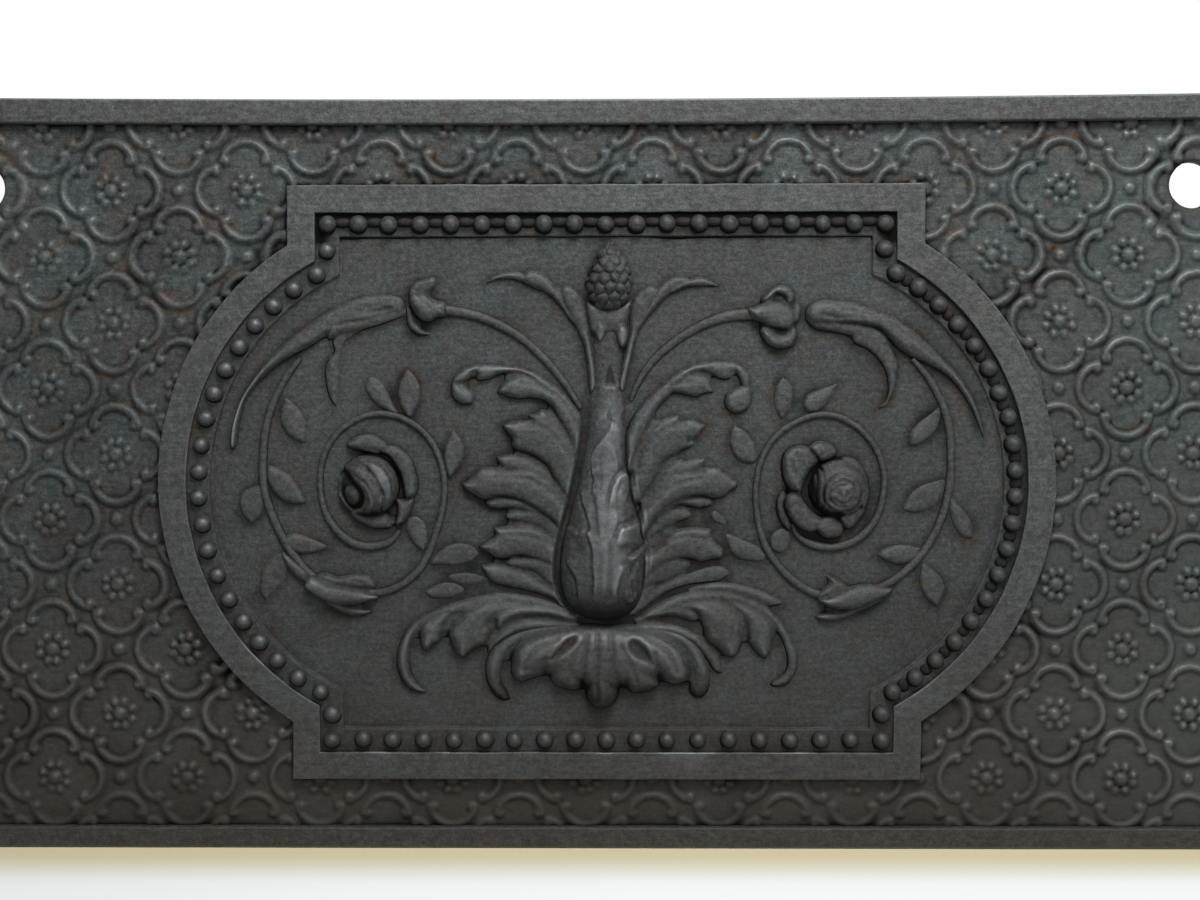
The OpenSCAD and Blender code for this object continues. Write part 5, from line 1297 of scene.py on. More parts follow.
        (2.6, 0.8, [(12, -69), (17, -66), (22, -62), (30, -57.4), (40, -54), (50, -52.4), (60, -53),
         (68, -55.4), (76, -59.2), (84, -64.8), (90, -72), (94.4, -80), (96.4, -88), (95, -95),
         (91, -100.4), (86, -102), (80.4, -101), (80.4, -101), (85, -98), (89, -94.4), (90.4, -90),
         (89.4, -83), (86.6, -76), (82.6, -69.6), (70, -62), (56, -60), (40, -62), (26, -67)]),
        (3.2, 1.6, [(56, -57), (66, -58.6), (76, -63), (83, -69.4), (83.8, -75), (83.2, -80.4),
         (81.8, -85), (79.6, -88), (79.6, -88), (75.6, -85.2), (71.6, -80.4), (70.6, -75.4),
         (69.8, -70.4), (66, -64.6), (61, -60.6)]),
        (3.8, 2.6, [(32, -62), (44, -58), (54, -57.4), (62, -60.4), (66.6, -64.4), (69.2, -70),
         (68.8, -77), (67.2, -83), (64, -86.8), (60, -86.4), (55, -82), (50.4, -78.4), (48.6, -73),
         (46.6, -68), (43, -63.6)]),
        (2.8, 1.6, [(14, -69), (22, -64.4), (32, -60.4), (42, -60.6), (46, -64.4), (45, -69),
         (41.6, -68.6), (37, -67), (32, -66.2), (24, -67)]),
        (2, 1, [(14, -71), (26, -69.6), (36, -71), (44, -74.4), (51, -80.4), (57, -88),
         (58.4, -95.6), (58.4, -95.6), (54, -94), (50, -88), (44, -81), (34, -76), (18, -74)]),
    ],
    "palmette": [
        (6.6, 4.6, [(-3, -70.4), (-20, -71.4), (-34, -74), (-43, -78.6), (-47, -86), (-46, -94),
         (-40, -97), (-30, -95), (-24, -100), (-12, -101), (-7, -106), (1, -107), (8, -102),
         (20, -102), (26, -97), (34, -99), (40, -96), (41, -88), (36, -79.6), (24, -73.4),
         (10, -71.4)]),
        (2.6, 1, [(-3, -70.6), (-14, -70), (-26, -70), (-36, -71.2), (-45, -73.6), (-52.4, -77.8),
         (-57.6, -83), (-60.4, -89), (-60.6, -96), (-59, -102), (-56, -106.8), (-51.6, -109),
         (-47.6, -108.4), (-47.6, -108.4), (-49.6, -104), (-52.6, -99), (-52, -92), (-48, -84.6),
         (-40, -79.4), (-24, -78), (-6, -80)]),
        (2.6, 1, [(3, -70.6), (14, -70), (25, -70.6), (35, -73), (42.6, -77.6), (47.6, -83),
         (50.8, -90), (52, -96), (52, -101.6), (49.4, -106.4), (45, -107.6), (41.6, -104.6),
         (41.6, -99.6), (43.6, -95.6), (41.6, -88), (36, -81), (22, -78), (6, -80)]),
        (5.6, 4, [(-12, -73), (-22, -73.4), (-34, -76), (-42, -80.6), (-46.6, -86.6), (-47.8, -93),
         (-46.4, -97.2), (-42.6, -99.4), (-38, -98.2), (-34, -97), (-30.4, -96), (-28.4, -92),
         (-28.6, -87.6), (-24, -80)]),
        (5.6, 4, [(10, -73), (20, -73), (30, -76.4), (37, -82), (40.6, -88.4), (41.8, -93),
         (41, -97.6), (38, -100), (34, -101), (29, -98.8), (26, -95.4), (24, -90), (20, -82)]),
        (6.2, 4.4, [(-6, -73), (-14, -75), (-22, -80), (-28, -88), (-29, -94), (-27.2, -99.4),
         (-22, -102.8), (-16, -103.8), (-12, -102), (-10.8, -95), (-10.4, -87), (-8, -79)]),
        (6.2, 4.4, [(4, -73), (12, -75), (19, -80), (23.8, -89.4), (25.4, -95), (27, -100),
         (25, -102.4), (20, -104.6), (13, -105), (9.6, -101.6), (4, -94.6), (3.2, -88),
         (3.6, -80)]),
        (7, 4.6, [(-4, -70.6), (-8.6, -76), (-10.4, -84), (-10.6, -92), (-10.2, -99), (-10.6, -105),
         (-8.4, -110), (-4, -113), (1.6, -112), (5.8, -107.4), (6.6, -101), (4, -95), (3, -88),
         (2.6, -79), (1, -73)]),
        (-3.6, 0, [(-14.4, -75), (-19, -75.8), (-23, -79.4), (-26.6, -84), (-28.8, -88), (-24, -86),
         (-19, -82.4), (-15, -79)]),
        (-3.6, 0, [(11, -78.4), (13.4, -76.4), (17.4, -77.8), (20.6, -81), (23, -85.4), (23.8, -90),
         (20, -88.4), (15, -86), (11.4, -82.4)]),
    ],
    "rose_left": [
        (2.6, 1, [(-129.6, 19.6), (-125.6, 23.8), (-119, 25.8), (-112.4, 23.8), (-108, 18.6),
         (-113, 14.6), (-119, 15.4), (-125, 17)]),
        (3.4, 0.8, [(-113, 16), (-108, 20), (-102.4, 18.8), (-97.4, 14), (-94.8, 8), (-93.6, 1),
         (-94.6, -5.2), (-99.6, -7), (-101.6, -2), (-102.6, 3), (-105.4, 9), (-109, 13.6)]),
        (3, 0.7, [(-105, -6), (-100, -7.8), (-95, -5.4), (-95, -5.4), (-96.2, -11), (-98.2, -16),
         (-101.6, -19.8), (-105, -20), (-104.6, -13)]),
        (3, 1.2, [(-128, -14), (-124.4, -18.4), (-117, -22), (-110, -22.4), (-106.6, -20.8),
         (-108.4, -14), (-113, -12.6), (-119, -14), (-125, -12)]),
    ],
    "rose_right": [
        (1.5, 0.7, [(89, -3), (85.2, -7), (84.7, -13), (87.2, -20), (92, -23), (93, -12)]),
        (2.8, 1.2, [(118, 14), (124, 12.8), (128.2, 8), (131, 0), (130.8, -8), (128, -12.6),
         (124, -8), (125.4, 0), (122, 7), (116, 10)]),
        (2.8, 1.2, [(115, -17), (118.4, -22), (122.8, -22), (126.4, -17.8), (129.4, -12.6),
         (124, -9), (118, -12)]),
        (3.2, 1.4, [(103.6, -22), (107.6, -26.4), (112, -27.4), (117.4, -25.8), (118.6, -19.6),
         (113, -15), (106, -17)]),
        (4.2, 1.2, [(91, -4), (88.4, -9), (89.4, -14.4), (92.4, -19), (97, -22.8), (102, -24.4),
         (107, -22.4), (109.4, -18), (104, -14), (99.4, -9), (96.4, -4)]),
        (3.8, 1, [(100.6, 18.6), (105, 21.9), (111, 21), (115.4, 17), (113, 13), (107, 11),
         (103, 14)]),
        (4.6, 1.4, [(87.8, 14.4), (92.4, 18.9), (98, 19.8), (103, 17.2), (106.4, 12), (102, 7),
         (99, 1), (97, -4), (92.8, -3.4), (89.2, 0), (87.2, 6)]),
    ],
    "collar_leaves": [
        (2.2, 1.4, [(-9, 91), (-9.6, 86), (-8.6, 80), (-6, 75), (8, 75), (11, 80), (12.4, 86),
         (12.6, 91), (2, 88)]),
        (4.4, 0.8, [(-5.6, 77), (-4.6, 80), (-1.8, 81), (0.8, 79), (1.2, 75.6), (-0.4, 71.8),
         (-3, 70), (-5.2, 73)]),
        (4.8, 1.4, [(4.8, 75), (5.6, 78.4), (8, 80), (10.8, 78.4), (11.8, 74.6), (10.8, 70),
         (8.4, 67.6), (5.6, 70.6)]),
    ],
}
# Grooves along the leaves, or ridges where below nothing: depth, width, then the line
veins = {
    "knot_left": [
        (0.6, 0.8, [(-96, 98), (-91, 93), (-87, 88)]),
        (0.5, 0.7, [(-98, 91), (-94, 87), (-90, 84)]),
    ],
    "rose_right": [
        (0.7, 0.9, [(99, 2), (94, 6), (91.4, 12)]), (0.6, 0.8, [(101, 7), (97, 11), (94.6, 16)]),
        (0.6, 0.8, [(105, 13), (109, 16), (113, 17)]),
        (0.6, 0.8, [(98, -12), (93.6, -10), (90.6, -13)]),
    ],
    "rose_left": [
        (0.6, 0.9, [(-120, 13), (-111, 12), (-104, 6), (-101, -2)]),
        (0.5, 0.8, [(-126, 17), (-117, 18), (-110, 15)]),
    ],
    "acanthus_left": [
        (0.5, 1.2, [(-13, 30), (-21, 41), (-31, 48), (-42, 50.6)]),
        (0.5, 1.2, [(-17, 14), (-23, 21), (-30, 28), (-39, 30)]),
        (0.6, 1.3, [(-18, -12), (-27, -4), (-35, 1.4), (-44, 3.6), (-54, 4)]),
        (0.5, 1.2, [(-24, -32), (-34, -27), (-44, -25), (-54, -26)]),
    ],
    "acanthus_right": [
        (0.5, 1.2, [(16, 32), (23, 42), (32, 48.6), (42, 51)]),
        (0.5, 1.2, [(18, 16), (24, 23), (31, 28), (40, 29.6)]),
        (0.6, 1.3, [(20, -12), (28, -4), (37, 1), (47, 3)]),
        (0.5, 1.2, [(24, -32), (32, -27.6), (41, -26), (50, -27.4)]),
    ],
    "droop_left": [
        (0.4, 1.2, [(-38, -60), (-52, -60), (-63, -66), (-69, -75)]),
        (0.3, 1.1, [(-46, -62), (-56, -65), (-62, -73)]),
    ],
    "droop_right": [
        (0.4, 1.2, [(38, -60.6), (50, -61), (58, -66), (62, -76)]),
        (0.3, 1.1, [(40, -62), (50, -66), (55, -75)]),
    ],
    "palmette": [
        (1.3, 1.5, [(-9.6, -75), (-10.6, -84), (-11.4, -94), (-12, -102)]),
        (1, 1.4, [(2.6, -74), (2.8, -84), (4, -93), (8, -102)]),
        (1, 1.4, [(-30, -86), (-31, -92), (-31.6, -97)]),
        (1, 1.4, [(24, -84), (25.6, -91), (27, -98)]),
        (1.2, 1.3, [(-3.8, -74), (-4.4, -86), (-4.4, -98), (-4, -107)]),
        (0.9, 1.2, [(-12, -79), (-17, -88), (-19, -98)]),
        (0.9, 1.2, [(8, -80), (12, -89), (16, -99)]),
        (0.9, 1.2, [(-24, -76.6), (-36, -82), (-41, -92)]),
        (0.9, 1.2, [(20, -76), (31, -83), (36, -93)]),
    ],
    "husk_left": [
        (0.4, 1.3, [(-118, 88), (-132, 84.6), (-146, 76.6), (-160, 66), (-172, 53)]),
        (-0.5, 1, [(-116, 83.6), (-128, 81.6), (-138, 77), (-150, 70)]),
    ],
    "husk_right": [
        (0.4, 1.3, [(118, 86.6), (132, 83.4), (146, 76.4), (160, 66), (172, 53.6)]),
        (-0.5, 1, [(116, 81), (130, 80.4), (140, 75.6), (150, 68)]),
    ],
}

# The baluster is made of circles whose middle and radius follow its outline in the
# photograph: height from the field's middle, middle of the circle, its radius
baluster = {
    "axisLevel": -4.45, "turns": 141, "flatten": 0.72, "sunk": 0.9, "skin": ((0.12, 2.6, 82),),
    "face": 0.44, "worn": 0.3, "fineGain": 0.08, "broadGain": 0.1, "footSootAndShade": 0.5, "backDrop": 1.2,
    "litX": 3, "litWidth": 10, "litFootZ": (-60, -46), "litHeadZ": (60, 34),
    "sootAndShadeZ": (-67, -50),
    "outline": [(-69.0, -0.8, 0.5), (-68.5, -0.9, 7.2), (-66.5, -1.2, 11.8), (-62, -1.6, 17.2),
                (-56, -1.8, 20.4), (-48, -1.9, 22.2), (-40, -1.8, 22.4), (-30, -1.5, 21.6),
                (-18, -1.0, 19.0), (-5, -1.0, 15.6), (8, -0.7, 13.2), (22, 0.3, 11.8),
                (38, 0.8, 11.0), (52, 0.8, 10.4), (64, 0.9, 9.9), (74, 1.3, 9.2), (80, 1.7, 8.4),
                (85, 1.9, 6.0)],
}
balusterLine = curveThrough(baluster["outline"], 20)


# What stands beside the baluster between its foot and its neck. On its right the
# acanthus reaches over its edge, and a fin of the mould's joint runs along it there.
besides = {"footZ": -68, "neckZ": 60, "over": 3.6, "clear": (0.2, 2.6), "creaseLevel": -0.8,
           "finAt": 5.4, "finHigh": 0.8, "finWidth": 0.6, "finFootZ": (-52, -44),
           "finHeadZ": (24, 14)}


# Distance beside the baluster, below nothing on it
def besideBaluster(x, z):
    middle = np.interp(z, balusterLine[:, 0], balusterLine[:, 1])
    radius = np.interp(z, balusterLine[:, 0], balusterLine[:, 2])
    away = abs(x - middle) - radius + besides["over"] * (x > middle)
    return np.where((z > besides["footZ"]) & (z < besides["neckZ"]), away, 99.0)


# Narrow gaps filled: the highest and then the lowest within a few cells, less a groove
def fillGaps(level, reach=4, groove=1.5):
    wide = level
    for pick in (np.maximum, np.minimum):
        for axis in (0, 1):
            here = wide
            for k in range(1, reach + 1):
                here = pick(here, pick(np.roll(wide, k, axis), np.roll(wide, -k, axis)))
            wide = here
    return np.maximum(level, wide - groove)


# Where the ornament stands on the field, for the soot and painted shade round it
footprints = []


# A piece of the ornament. Its first points are those that stand on the field.
def makeRelief(node, points, faces, exposed, sharp, standing=None):
    footprints.append(points[:standing, :2])
    makePiece(node + "_relief", points, faces, np.clip(exposed, 0, 1), reliefFinish,
              [node], sharp=sharp)


# Middles of the roses' hearts, their radii and heights, the left one's painted highlight and the
# right one's disc
roseHearts = {
    "leftAt": (-118.4, -0.6), "leftRadius": 15.6, "leftHigh": 12.5, "leftHighlightAt": (-111.0, 1.0),
    "rightAt": (115.4, -2.4), "rightRadius": 14.6, "rightHigh": 10.5, "rightDiscAt": (117.0, -4.4),
    "leftHighlight": (4.0, 7.0), "rightDisc": 6.5, "rightShadeX": (115, 105),
    # The right one's rings as radius and depth, their width, and its ruffles
    "rings": ((2.4, 0.8), (4.6, 1.0), (6.8, 1.2), (9.4, 1.5)), "ringWidth": 0.55,
    "ruffle": 0.45, "ruffleX": (112, 107), "ruffleTurns": 2.3, "ruffleBow": 0.012,
    "waver": ((0.7, 5.0, 92),), "ruffleWaver": ((1.6, 6.0, 93),), "grain": ((0.5, 1.9, 91),),
}


def farFrom(x, z, place):
    return np.hypot(x - place[0], z - place[1])


# A ball's height where a share of its radius away, falling off steeply beyond its edge
def ballLevel(far, high):
    return high * np.sqrt(np.clip(1 - far ** 2, 0, 1)) - 16 * np.clip(far - 1, 0, 9)


# The leaves' level over the field: the highest lobe at each place, then its hollows and
# veins, with rounded edges and the mould's skin
def leafLevel(node, look, x, z, base):
    lobes, kind = leafage[node], node.split("_")[0]
    level = np.full(x.shape, -9.0)
    for wall, crown, points in [lobe for lobe in lobes if lobe[0] > 0]:
        layLobe(x, z, level, wall * look["share"], crown * look["share"] * look["crown"], points,
                look["edge"], look["tilt"])
    level = fillGaps(level, groove=look["groove"])
    for wall, crown, points in [lobe for lobe in lobes if lobe[0] < 0]:
        layLobe(x, z, level, wall, crown, points)
    if kind == "acanthus":
        b, beside = besides, besideBaluster(x, z)
        clear = smoothStep(*b["clear"], beside)
        level = level * clear + b["creaseLevel"] * (1 - clear)
        fin = b["finHigh"] * bell(beside - b["finAt"], b["finWidth"]) * (x > 0)
        level += fin * smoothStep(*b["finFootZ"], z) * smoothStep(*b["finHeadZ"], z)
    if base:
        base(x, z, level)
    for depth, width, points in veins.get(node, []):
        away = lineDistance(x, z, curveThrough(points, 6))
        level -= depth * bell(away, width) * smoothStep(0.5, 2.0, level)
    shown = np.maximum(level, -2.0)
    level = np.where(level > 0.2, soften(shown, look["softenings"]), shown)
    return level + noiseSum(x, z, relief["skin"]) * smoothStep(0.2, 1.0, level)


# How exposed the leaves are: by their level against the mean round it, which paints shade into
# hollows and highlights onto crowns, less soot and painted shade at their foot, and painted shade
# on the side that faces down and to the left, away from the light
def leafExposed(node, look, x, z, level):
    kind, ground, r = node.split("_")[0], np.maximum(level, 0), relief
    exposed = look["worn"] + r["broadGain"] * (level - windowMean(ground, r["broadWindow"]))
    exposed += look["gain"] * (level - windowMean(ground, r["fineWindow"]))
    riseZ, riseX = np.gradient(soften(level, 1))
    foot = look["footSootAndShade"] + r["wallSootAndShade"] * (1 - smoothStep(-0.25, 0.3, riseX + riseZ))
    if kind == "acanthus":
        behind = (besideBaluster(x, z) < besides["finAt"] - 0.2) & (x > 0)
        foot = np.where(behind, r["finSootAndShade"], foot)
    low = np.minimum(exposed, foot + 0.35 * np.clip(level, 0, 1))
    exposed = np.where(level < 0.8, low, exposed)
    exposed -= look["leeShade"] * smoothStep(0.05, 0.5, riseX + riseZ)
    h = roseHearts
    if node == "rose_left":
        # A painted highlight on the right of its heart
        atX, atZ = h["leftHighlightAt"]
        wide, tall = h["leftHighlight"]
        exposed += r["patch"] * bell(x - atX, wide) * bell(z - atZ, tall)
    if node == "rose_right":
        # The heart gets painted shade on its left and a painted highlight on its disc
        heart = smoothStep(1.05, 0.95, farFrom(x, z, h["rightAt"]) / h["rightRadius"])
        disc = bell(farFrom(x, z, h["rightDiscAt"]), h["rightDisc"])
        shadedPart = smoothStep(*h["rightShadeX"], x)
        exposed += heart * (r["disc"] * disc - r["heartShade"] * shadedPart)
    # The droops' tails, turned under, get painted shade
    if kind == "droop":
        exposed -= r["tailShade"] * smoothStep(-82, -94, z)
    # The palmette's lower tips, turned under, get painted shade, and its eyes are darkened, soot
    # and painted shade
    if kind == "palmette":
        exposed *= r["palmetteShade"] + (1 - r["palmetteShade"]) * smoothStep(-106, -90, z)
        for eye in [points for wall, crown, points in leafage[node] if wall < 0]:
            inside = smoothStep(0.3, 1.5, insideDistance(x, z, closedCurve(eye)))
            exposed = exposed * (1 - inside) + r["eye"] * inside
    return exposed


# A node's leaves as one relief on a fine grid. What lies lower than the field is cut
# away, and the rest gets walls.
def makeLeaves(node, base=None):
    look = {**usualLeaf, **leafKinds.get(node.split("_")[0], {})}
    step, margin = relief["step"], relief["margin"]
    traced = np.array([p for *_, points in leafage[node] for p in points])
    low, high = traced.min(axis=0) - margin, traced.max(axis=0) + margin
    x, z = np.meshgrid(np.arange(low[0], high[0], step), np.arange(low[1], high[1], step))
    level = leafLevel(node, look, x, z, base)
    exposed = leafExposed(node, look, x, z, level)
    above = level > -relief["sink"]
    mask = above[:-1, :-1] | above[1:, :-1] | above[:-1, 1:] | above[1:, 1:]
    points = onField(x, z, fieldLevel + level)
    points, quads, exposed = kept(points, gridQuads(*x.shape), exposed, mask.ravel())
    standing = len(points)
    points, faces, exposed = closed(points, quads, exposed, fieldLevel - relief["backDrop"])
    makeRelief(node, points, faces, exposed, 80, standing)


for node in stems:
    makeStem(node)
for node in leafage:
    if not node.startswith("rose"):
        makeLeaves(node)
print("foliage made")


# The leaves that are wrapped round the baluster, seen from the front: hollows (depth,
# outline), edges (high, fade, dip, width, line) and grooves (depth, width, line)
balusterHollows = [
    (1.9, [(2.3, 60.4), (2.3, 60.4), (0.4, 55), (-0.8, 48.8), (-0.8, 48.8), (3, 48.2), (6, 48),
     (6, 48), (4.5, 54)]),
    (1.5, [(1.8, 38), (1.8, 38), (3.7, 33), (6.6, 27.6), (6.6, 27.6), (2.8, 30.4), (0.6, 33)]),
    (1.1, [(12.4, -37.4), (14.8, -37), (15.4, -40), (14.4, -43), (13, -45.6), (13, -41)]),
    (1.6, [(13.2, -46.4), (14.6, -48), (15.4, -51), (15.6, -54), (14.2, -54.6), (13.4, -51)]),
]
balusterEdges = [
    (0.8, 5, 0.5, 0.9, [(8.4, 50.8), (3, 49.4), (0, 50), (-5, 49.2)]),
    (1.5, 7, 0.9, 1.2, [(3.6, 32.4), (2, 28), (0, 25), (-4, 20.5), (-6.6, 16.5), (-7.6, 12),
     (-7.4, 7), (-5.6, 1)]),
    (1.5, 8, 1.2, 1.2, [(11.8, 7.4), (6.5, 4.5), (4, 0.5), (2.4, -4), (1.4, -10.6)]),
    (0.9, 4, 0.6, 0.9, [(9.4, -9.4), (11.6, -4.5), (11.7, 0), (10.4, 7)]),
    (1.3, 3.4, 1.1, 1.3, [(-12.8, -2), (-12, -9), (-9.6, -15.5), (-7.6, -22.8)]),
    (0.8, 3, 0.5, 0.8, [(-8.4, 7), (-12.2, 1), (-12.8, -5)]),
    (0.6, 4, 0.5, 0.9, [(-5.6, 4), (-7, -1), (-5.4, -12)]),
    (1.7, 3.4, 0.8, 0.9, [(-6.8, -22), (-10, -22.4), (-12, -21.6), (-13.6, -23.4), (-16, -22),
     (-21, -19.8)]),
    (1.3, 3.5, 1.4, 1.5, [(-10, -22), (-8, -28), (-7, -33), (-6.8, -40), (-6.2, -47), (-6.8, -58)]),
    (1.4, 4, 1.1, 1.2, [(-20.6, -36.6), (-18, -41.5), (-15.4, -45), (-14.4, -50), (-14, -58)]),
    (2, 9, 1.5, 1.5, [(18, -15.6), (12, -19.5), (8, -20.5), (6, -24), (4.6, -29.4)]),
    (1, 3, 0.9, 0.9, [(18.2, -32.4), (18.4, -27.5), (17, -25), (16.6, -17.6)]),
    (2, 4, 1.2, 1.1, [(20.6, -29), (16, -33), (11.6, -36.4)]),
    (1, 3, 0.9, 0.9, [(15.6, -37.6), (14.4, -42.6), (13, -46.6)]),
    (1.3, 2.5, 0.9, 0.9, [(9.4, -51.6), (10.2, -56.4), (12, -58.6), (14.6, -57), (16.4, -53.4)]),
]
balusterVeins = [
    (0.9, 1, [(-6, -6), (-5.6, -12), (-5, -18), (-4.4, -24)]),
    (1, 3.6, [(-14.5, -27.6), (-13, -33)]), (-0.7, 0.9, [(-5.5, 30.5), (-3, 32.5), (0, 34)]),
    (-0.6, 0.9, [(1, 20), (5, 14), (6, 8)]),
    (-1, 1.4, [(8, -41), (6, -46), (4.6, -52), (4.2, -57)]),
    (0.8, 1.3, [(8.8, -45), (7.6, -51), (7.2, -58)]),
    (0.9, 1.1, [(2.6, -29), (2.8, -38), (2.2, -46), (1.8, -56)]),
    (-0.5, 0.9, [(5.6, -15), (5, -22), (3.8, -29)]), (0.8, 2.6, [(11, -30.6), (15, -31.6)]),
    (0.4, 0.8, [(0.6, -10), (0.8, -18), (0, -27)]),
    (0.5, 0.9, [(-2.4, -34), (-2.6, -44), (-3, -55)]), (0.4, 0.8, [(-3, 14), (-2.6, 4), (-3, -5)]),
    (0.4, 0.8, [(3, 47), (2.4, 43)]), (0.5, 0.8, [(8, 2), (6, -5), (6.4, -12)]),
]


def makeBaluster():
    p, look = balusterLine, baluster
    turn = np.linspace(-math.pi / 2, math.pi / 2, look["turns"])
    x = p[:, 1:2] + p[:, 2:3] * np.sin(turn)
    z = p[:, :1] + 0 * turn
    over = np.zeros(x.shape)
    for high, fade, dip, width, points in balusterEdges:
        addEdge(x, z, over, high, fade, dip, width, points)
    for depth, points in balusterHollows:
        addLobe(x, z, over, -depth, 0, points)
    for depth, width, points in balusterVeins:
        over -= depth * bell(lineDistance(x, z, curveThrough(points, 6)), width)
    over = soften(over, 3) + noiseSum(x, z, look["skin"]) - look["sunk"]
    swell = p[:, 2:3] + over * smoothStep(1.0, 8.0, p[:, 2:3])
    x = p[:, 1:2] + swell * np.sin(turn)
    level = look["axisLevel"] + swell * np.maximum(np.cos(turn), 0) ** look["flatten"]
    level = np.maximum(level, fieldLevel - 0.9)
    # A painted highlight runs down the lit front of the wrapped leaves, and the bulb is darker
    # below, soot and painted shade
    worn = look["worn"] * bell(x - look["litX"], look["litWidth"])
    worn = worn * smoothStep(*look["litFootZ"], z) * smoothStep(*look["litHeadZ"], z)
    exposed = look["face"] + worn + look["fineGain"] * (over - windowMean(over, 4))
    exposed += look["broadGain"] * (over - windowMean(over, 14))
    # Painted shade on the left flank, away from the light
    flank = np.where(turn < 0, smoothStep(0.02, 0.5, np.cos(turn)), 0.9 + 0.1 * np.cos(turn))
    exposed *= flank * (1 - look["footSootAndShade"] + look["footSootAndShade"] * smoothStep(*look["sootAndShadeZ"], z))
    points = onField(x, z, level)
    backLevel = fieldLevel - look["backDrop"]
    makeRelief("baluster", *closed(points, gridQuads(*x.shape), exposed, backLevel), 70)


makeBaluster()


# The pine cone: circles as on the baluster, with scales on them, which are cells round
# staggered, slightly scattered middles, highest in their middles
cone = {
    "outline": [(86.6, 1.5, 1.5), (88, 1.5, 6.5), (92, 1.6, 10.2), (98, 1.7, 12.0),
                (104, 1.9, 11.6), (110, 2.1, 9.4), (116, 2.3, 6.0), (120.5, 2.4, 1.2)],
    "turns": 91, "rows": 8, "columns": range(-3, 4), "foot": 87.5, "pitchX": 6.6, "pitchZ": 4.7,
    "scatter": 1.5, "squash": 1.1, "seam": 2.2, "sunk": 1.7, "high": 2.2, "seed": 84,
    "lumps": ((0.45, 3.0, 83),), "tone": ((0.1, 5.0, 85),), "backDrop": 1.2, "axisDrop": 0.8,
    "face": 0.41, "worn": 0.15, "leftShade": 0.16,
}


def makeCone():
    look = cone
    p = curveThrough(look["outline"], 14)
    turn = np.linspace(-math.pi / 2, math.pi / 2, look["turns"])
    draw = np.random.default_rng(look["seed"])
    girth, up = p[:, 2:3] * turn, p[:, :1] + 0 * turn
    first, second = np.full(up.shape, 99.0), np.full(up.shape, 99.0)
    for row in range(look["rows"]):
        for column in look["columns"]:
            off = draw.uniform(-look["scatter"], look["scatter"], 2)
            atX = (column + 0.5 * (row % 2)) * look["pitchX"] + off[0]
            atZ = look["foot"] + row * look["pitchZ"] + off[1]
            away = np.hypot(girth - atX, (up - atZ) * look["squash"])
            second = np.minimum(np.maximum(first, away), second)
            first = np.minimum(first, away)
    scale = 1 - np.exp(-np.maximum(second - first, 0) / look["seam"])
    scale *= 1 - 0.35 * smoothStep(106, 114, up)
    r = p[:, 2:3] - look["sunk"] + look["high"] * scale + noiseSum(girth, up, look["lumps"])
    level = fieldLevel - look["axisDrop"] + r * np.cos(turn)
    # Lighter on the scales' middles and darker in their seams, wear and painted shade, and darker
    # on the left side, painted shade away from the light
    exposed = look["face"] + look["worn"] * scale + noiseSum(girth, up, look["tone"])
    exposed -= look["leftShade"] * smoothStep(2, -12, girth)
    points = onField(p[:, 1:2] + r * np.sin(turn), up, level)
    backLevel = fieldLevel - look["backDrop"]
    makeRelief("pine_cone", *closed(points, gridQuads(*up.shape), exposed, backLevel), 70)


makeCone()


# The left rose's heart is a ball that looks to the left: petals lap round a hollow with
# a small bud in it. First wall, crown and outline of each petal, then its edges as high,
# fade, dip, width and line.
leftPetals = [
    (1.2, 0.4, [(-123, 15.4), (-112, 14.6), (-105, 8), (-102.8, 0), (-105, -8), (-110, -13.4),
     (-112.4, -8), (-110.4, -4), (-112.2, -0.6), (-115, 3), (-117, 7), (-123, 11)]),
    (1, 0.4, [(-127, 10.4), (-120, 8.4), (-116, 2.6), (-113.4, -2), (-112, -6), (-114, -13),
     (-119.4, -13), (-117, -6), (-118.4, -1), (-121, 3.2), (-126, 7.4)]),
    (-4.6, 0, [(-132, 9.4), (-127, 7.4), (-123.6, 3), (-120, -1), (-118.4, -6), (-121, -11.6),
     (-126, -13), (-130.4, -9), (-133, -3), (-133, 4)]),
    (1.8, 0.5, [(-130, -2), (-126.6, -0.4), (-123.2, -2), (-122, -6), (-124, -10.4), (-127.8, -9.8),
     (-130.2, -6)]),
]
leftEdges = [
    (1, 3, 1.5, 1.1, [(-113.4, -14), (-110.4, -8), (-111.4, -2), (-114.6, 4), (-119, 9),
     (-125, 12)]),
    (0.8, 2.4, 1.4, 1, [(-107, -9.6), (-105.6, -3), (-107, 4), (-111, 9.4), (-117, 12.6)]),
    (0.8, 2, 1.3, 0.9, [(-118, -15), (-114.4, -10), (-115.4, -5), (-118, 0), (-121.4, 3.6)]),
]


def leftHeart(x, z, level):
    h = roseHearts
    far = farFrom(x, z, h["leftAt"]) / h["leftRadius"]
    ball = ballLevel(far, h["leftHigh"])
    for wall, crown, points in leftPetals:
        addLobe(x, z, ball, wall, crown, points)
    for high, fade, dip, width, points in leftEdges:
        addEdge(x, z, ball, high, fade, dip, width, points)
    np.maximum(level, np.where(far < 1.1, ball, -9), out=level)


# The right rose's heart is a ball too, hollow round its left side; from the front its
# middle shows as a disc of ruffled, broken rings
rightPetals = [
    (-1.6, 0, [(103, 10), (100.6, 4), (100.8, -3), (102, -9), (106, -14.6), (112, -16.8),
     (118, -15.8), (116, -13), (111, -12.6), (107, -9), (105.4, -4), (105.8, 3), (108, 8)]),
    (0.9, 0.6, [(104, 11.4), (110, 13.6), (115, 14.4), (120, 13.6), (119, 10.4), (113, 10),
     (107, 8)]),
    (-1.4, 0, [(123.4, 4), (126.4, 1), (127.6, -5), (126.4, -10), (124.8, -8), (125.8, -3),
     (124.4, 1)]),
]


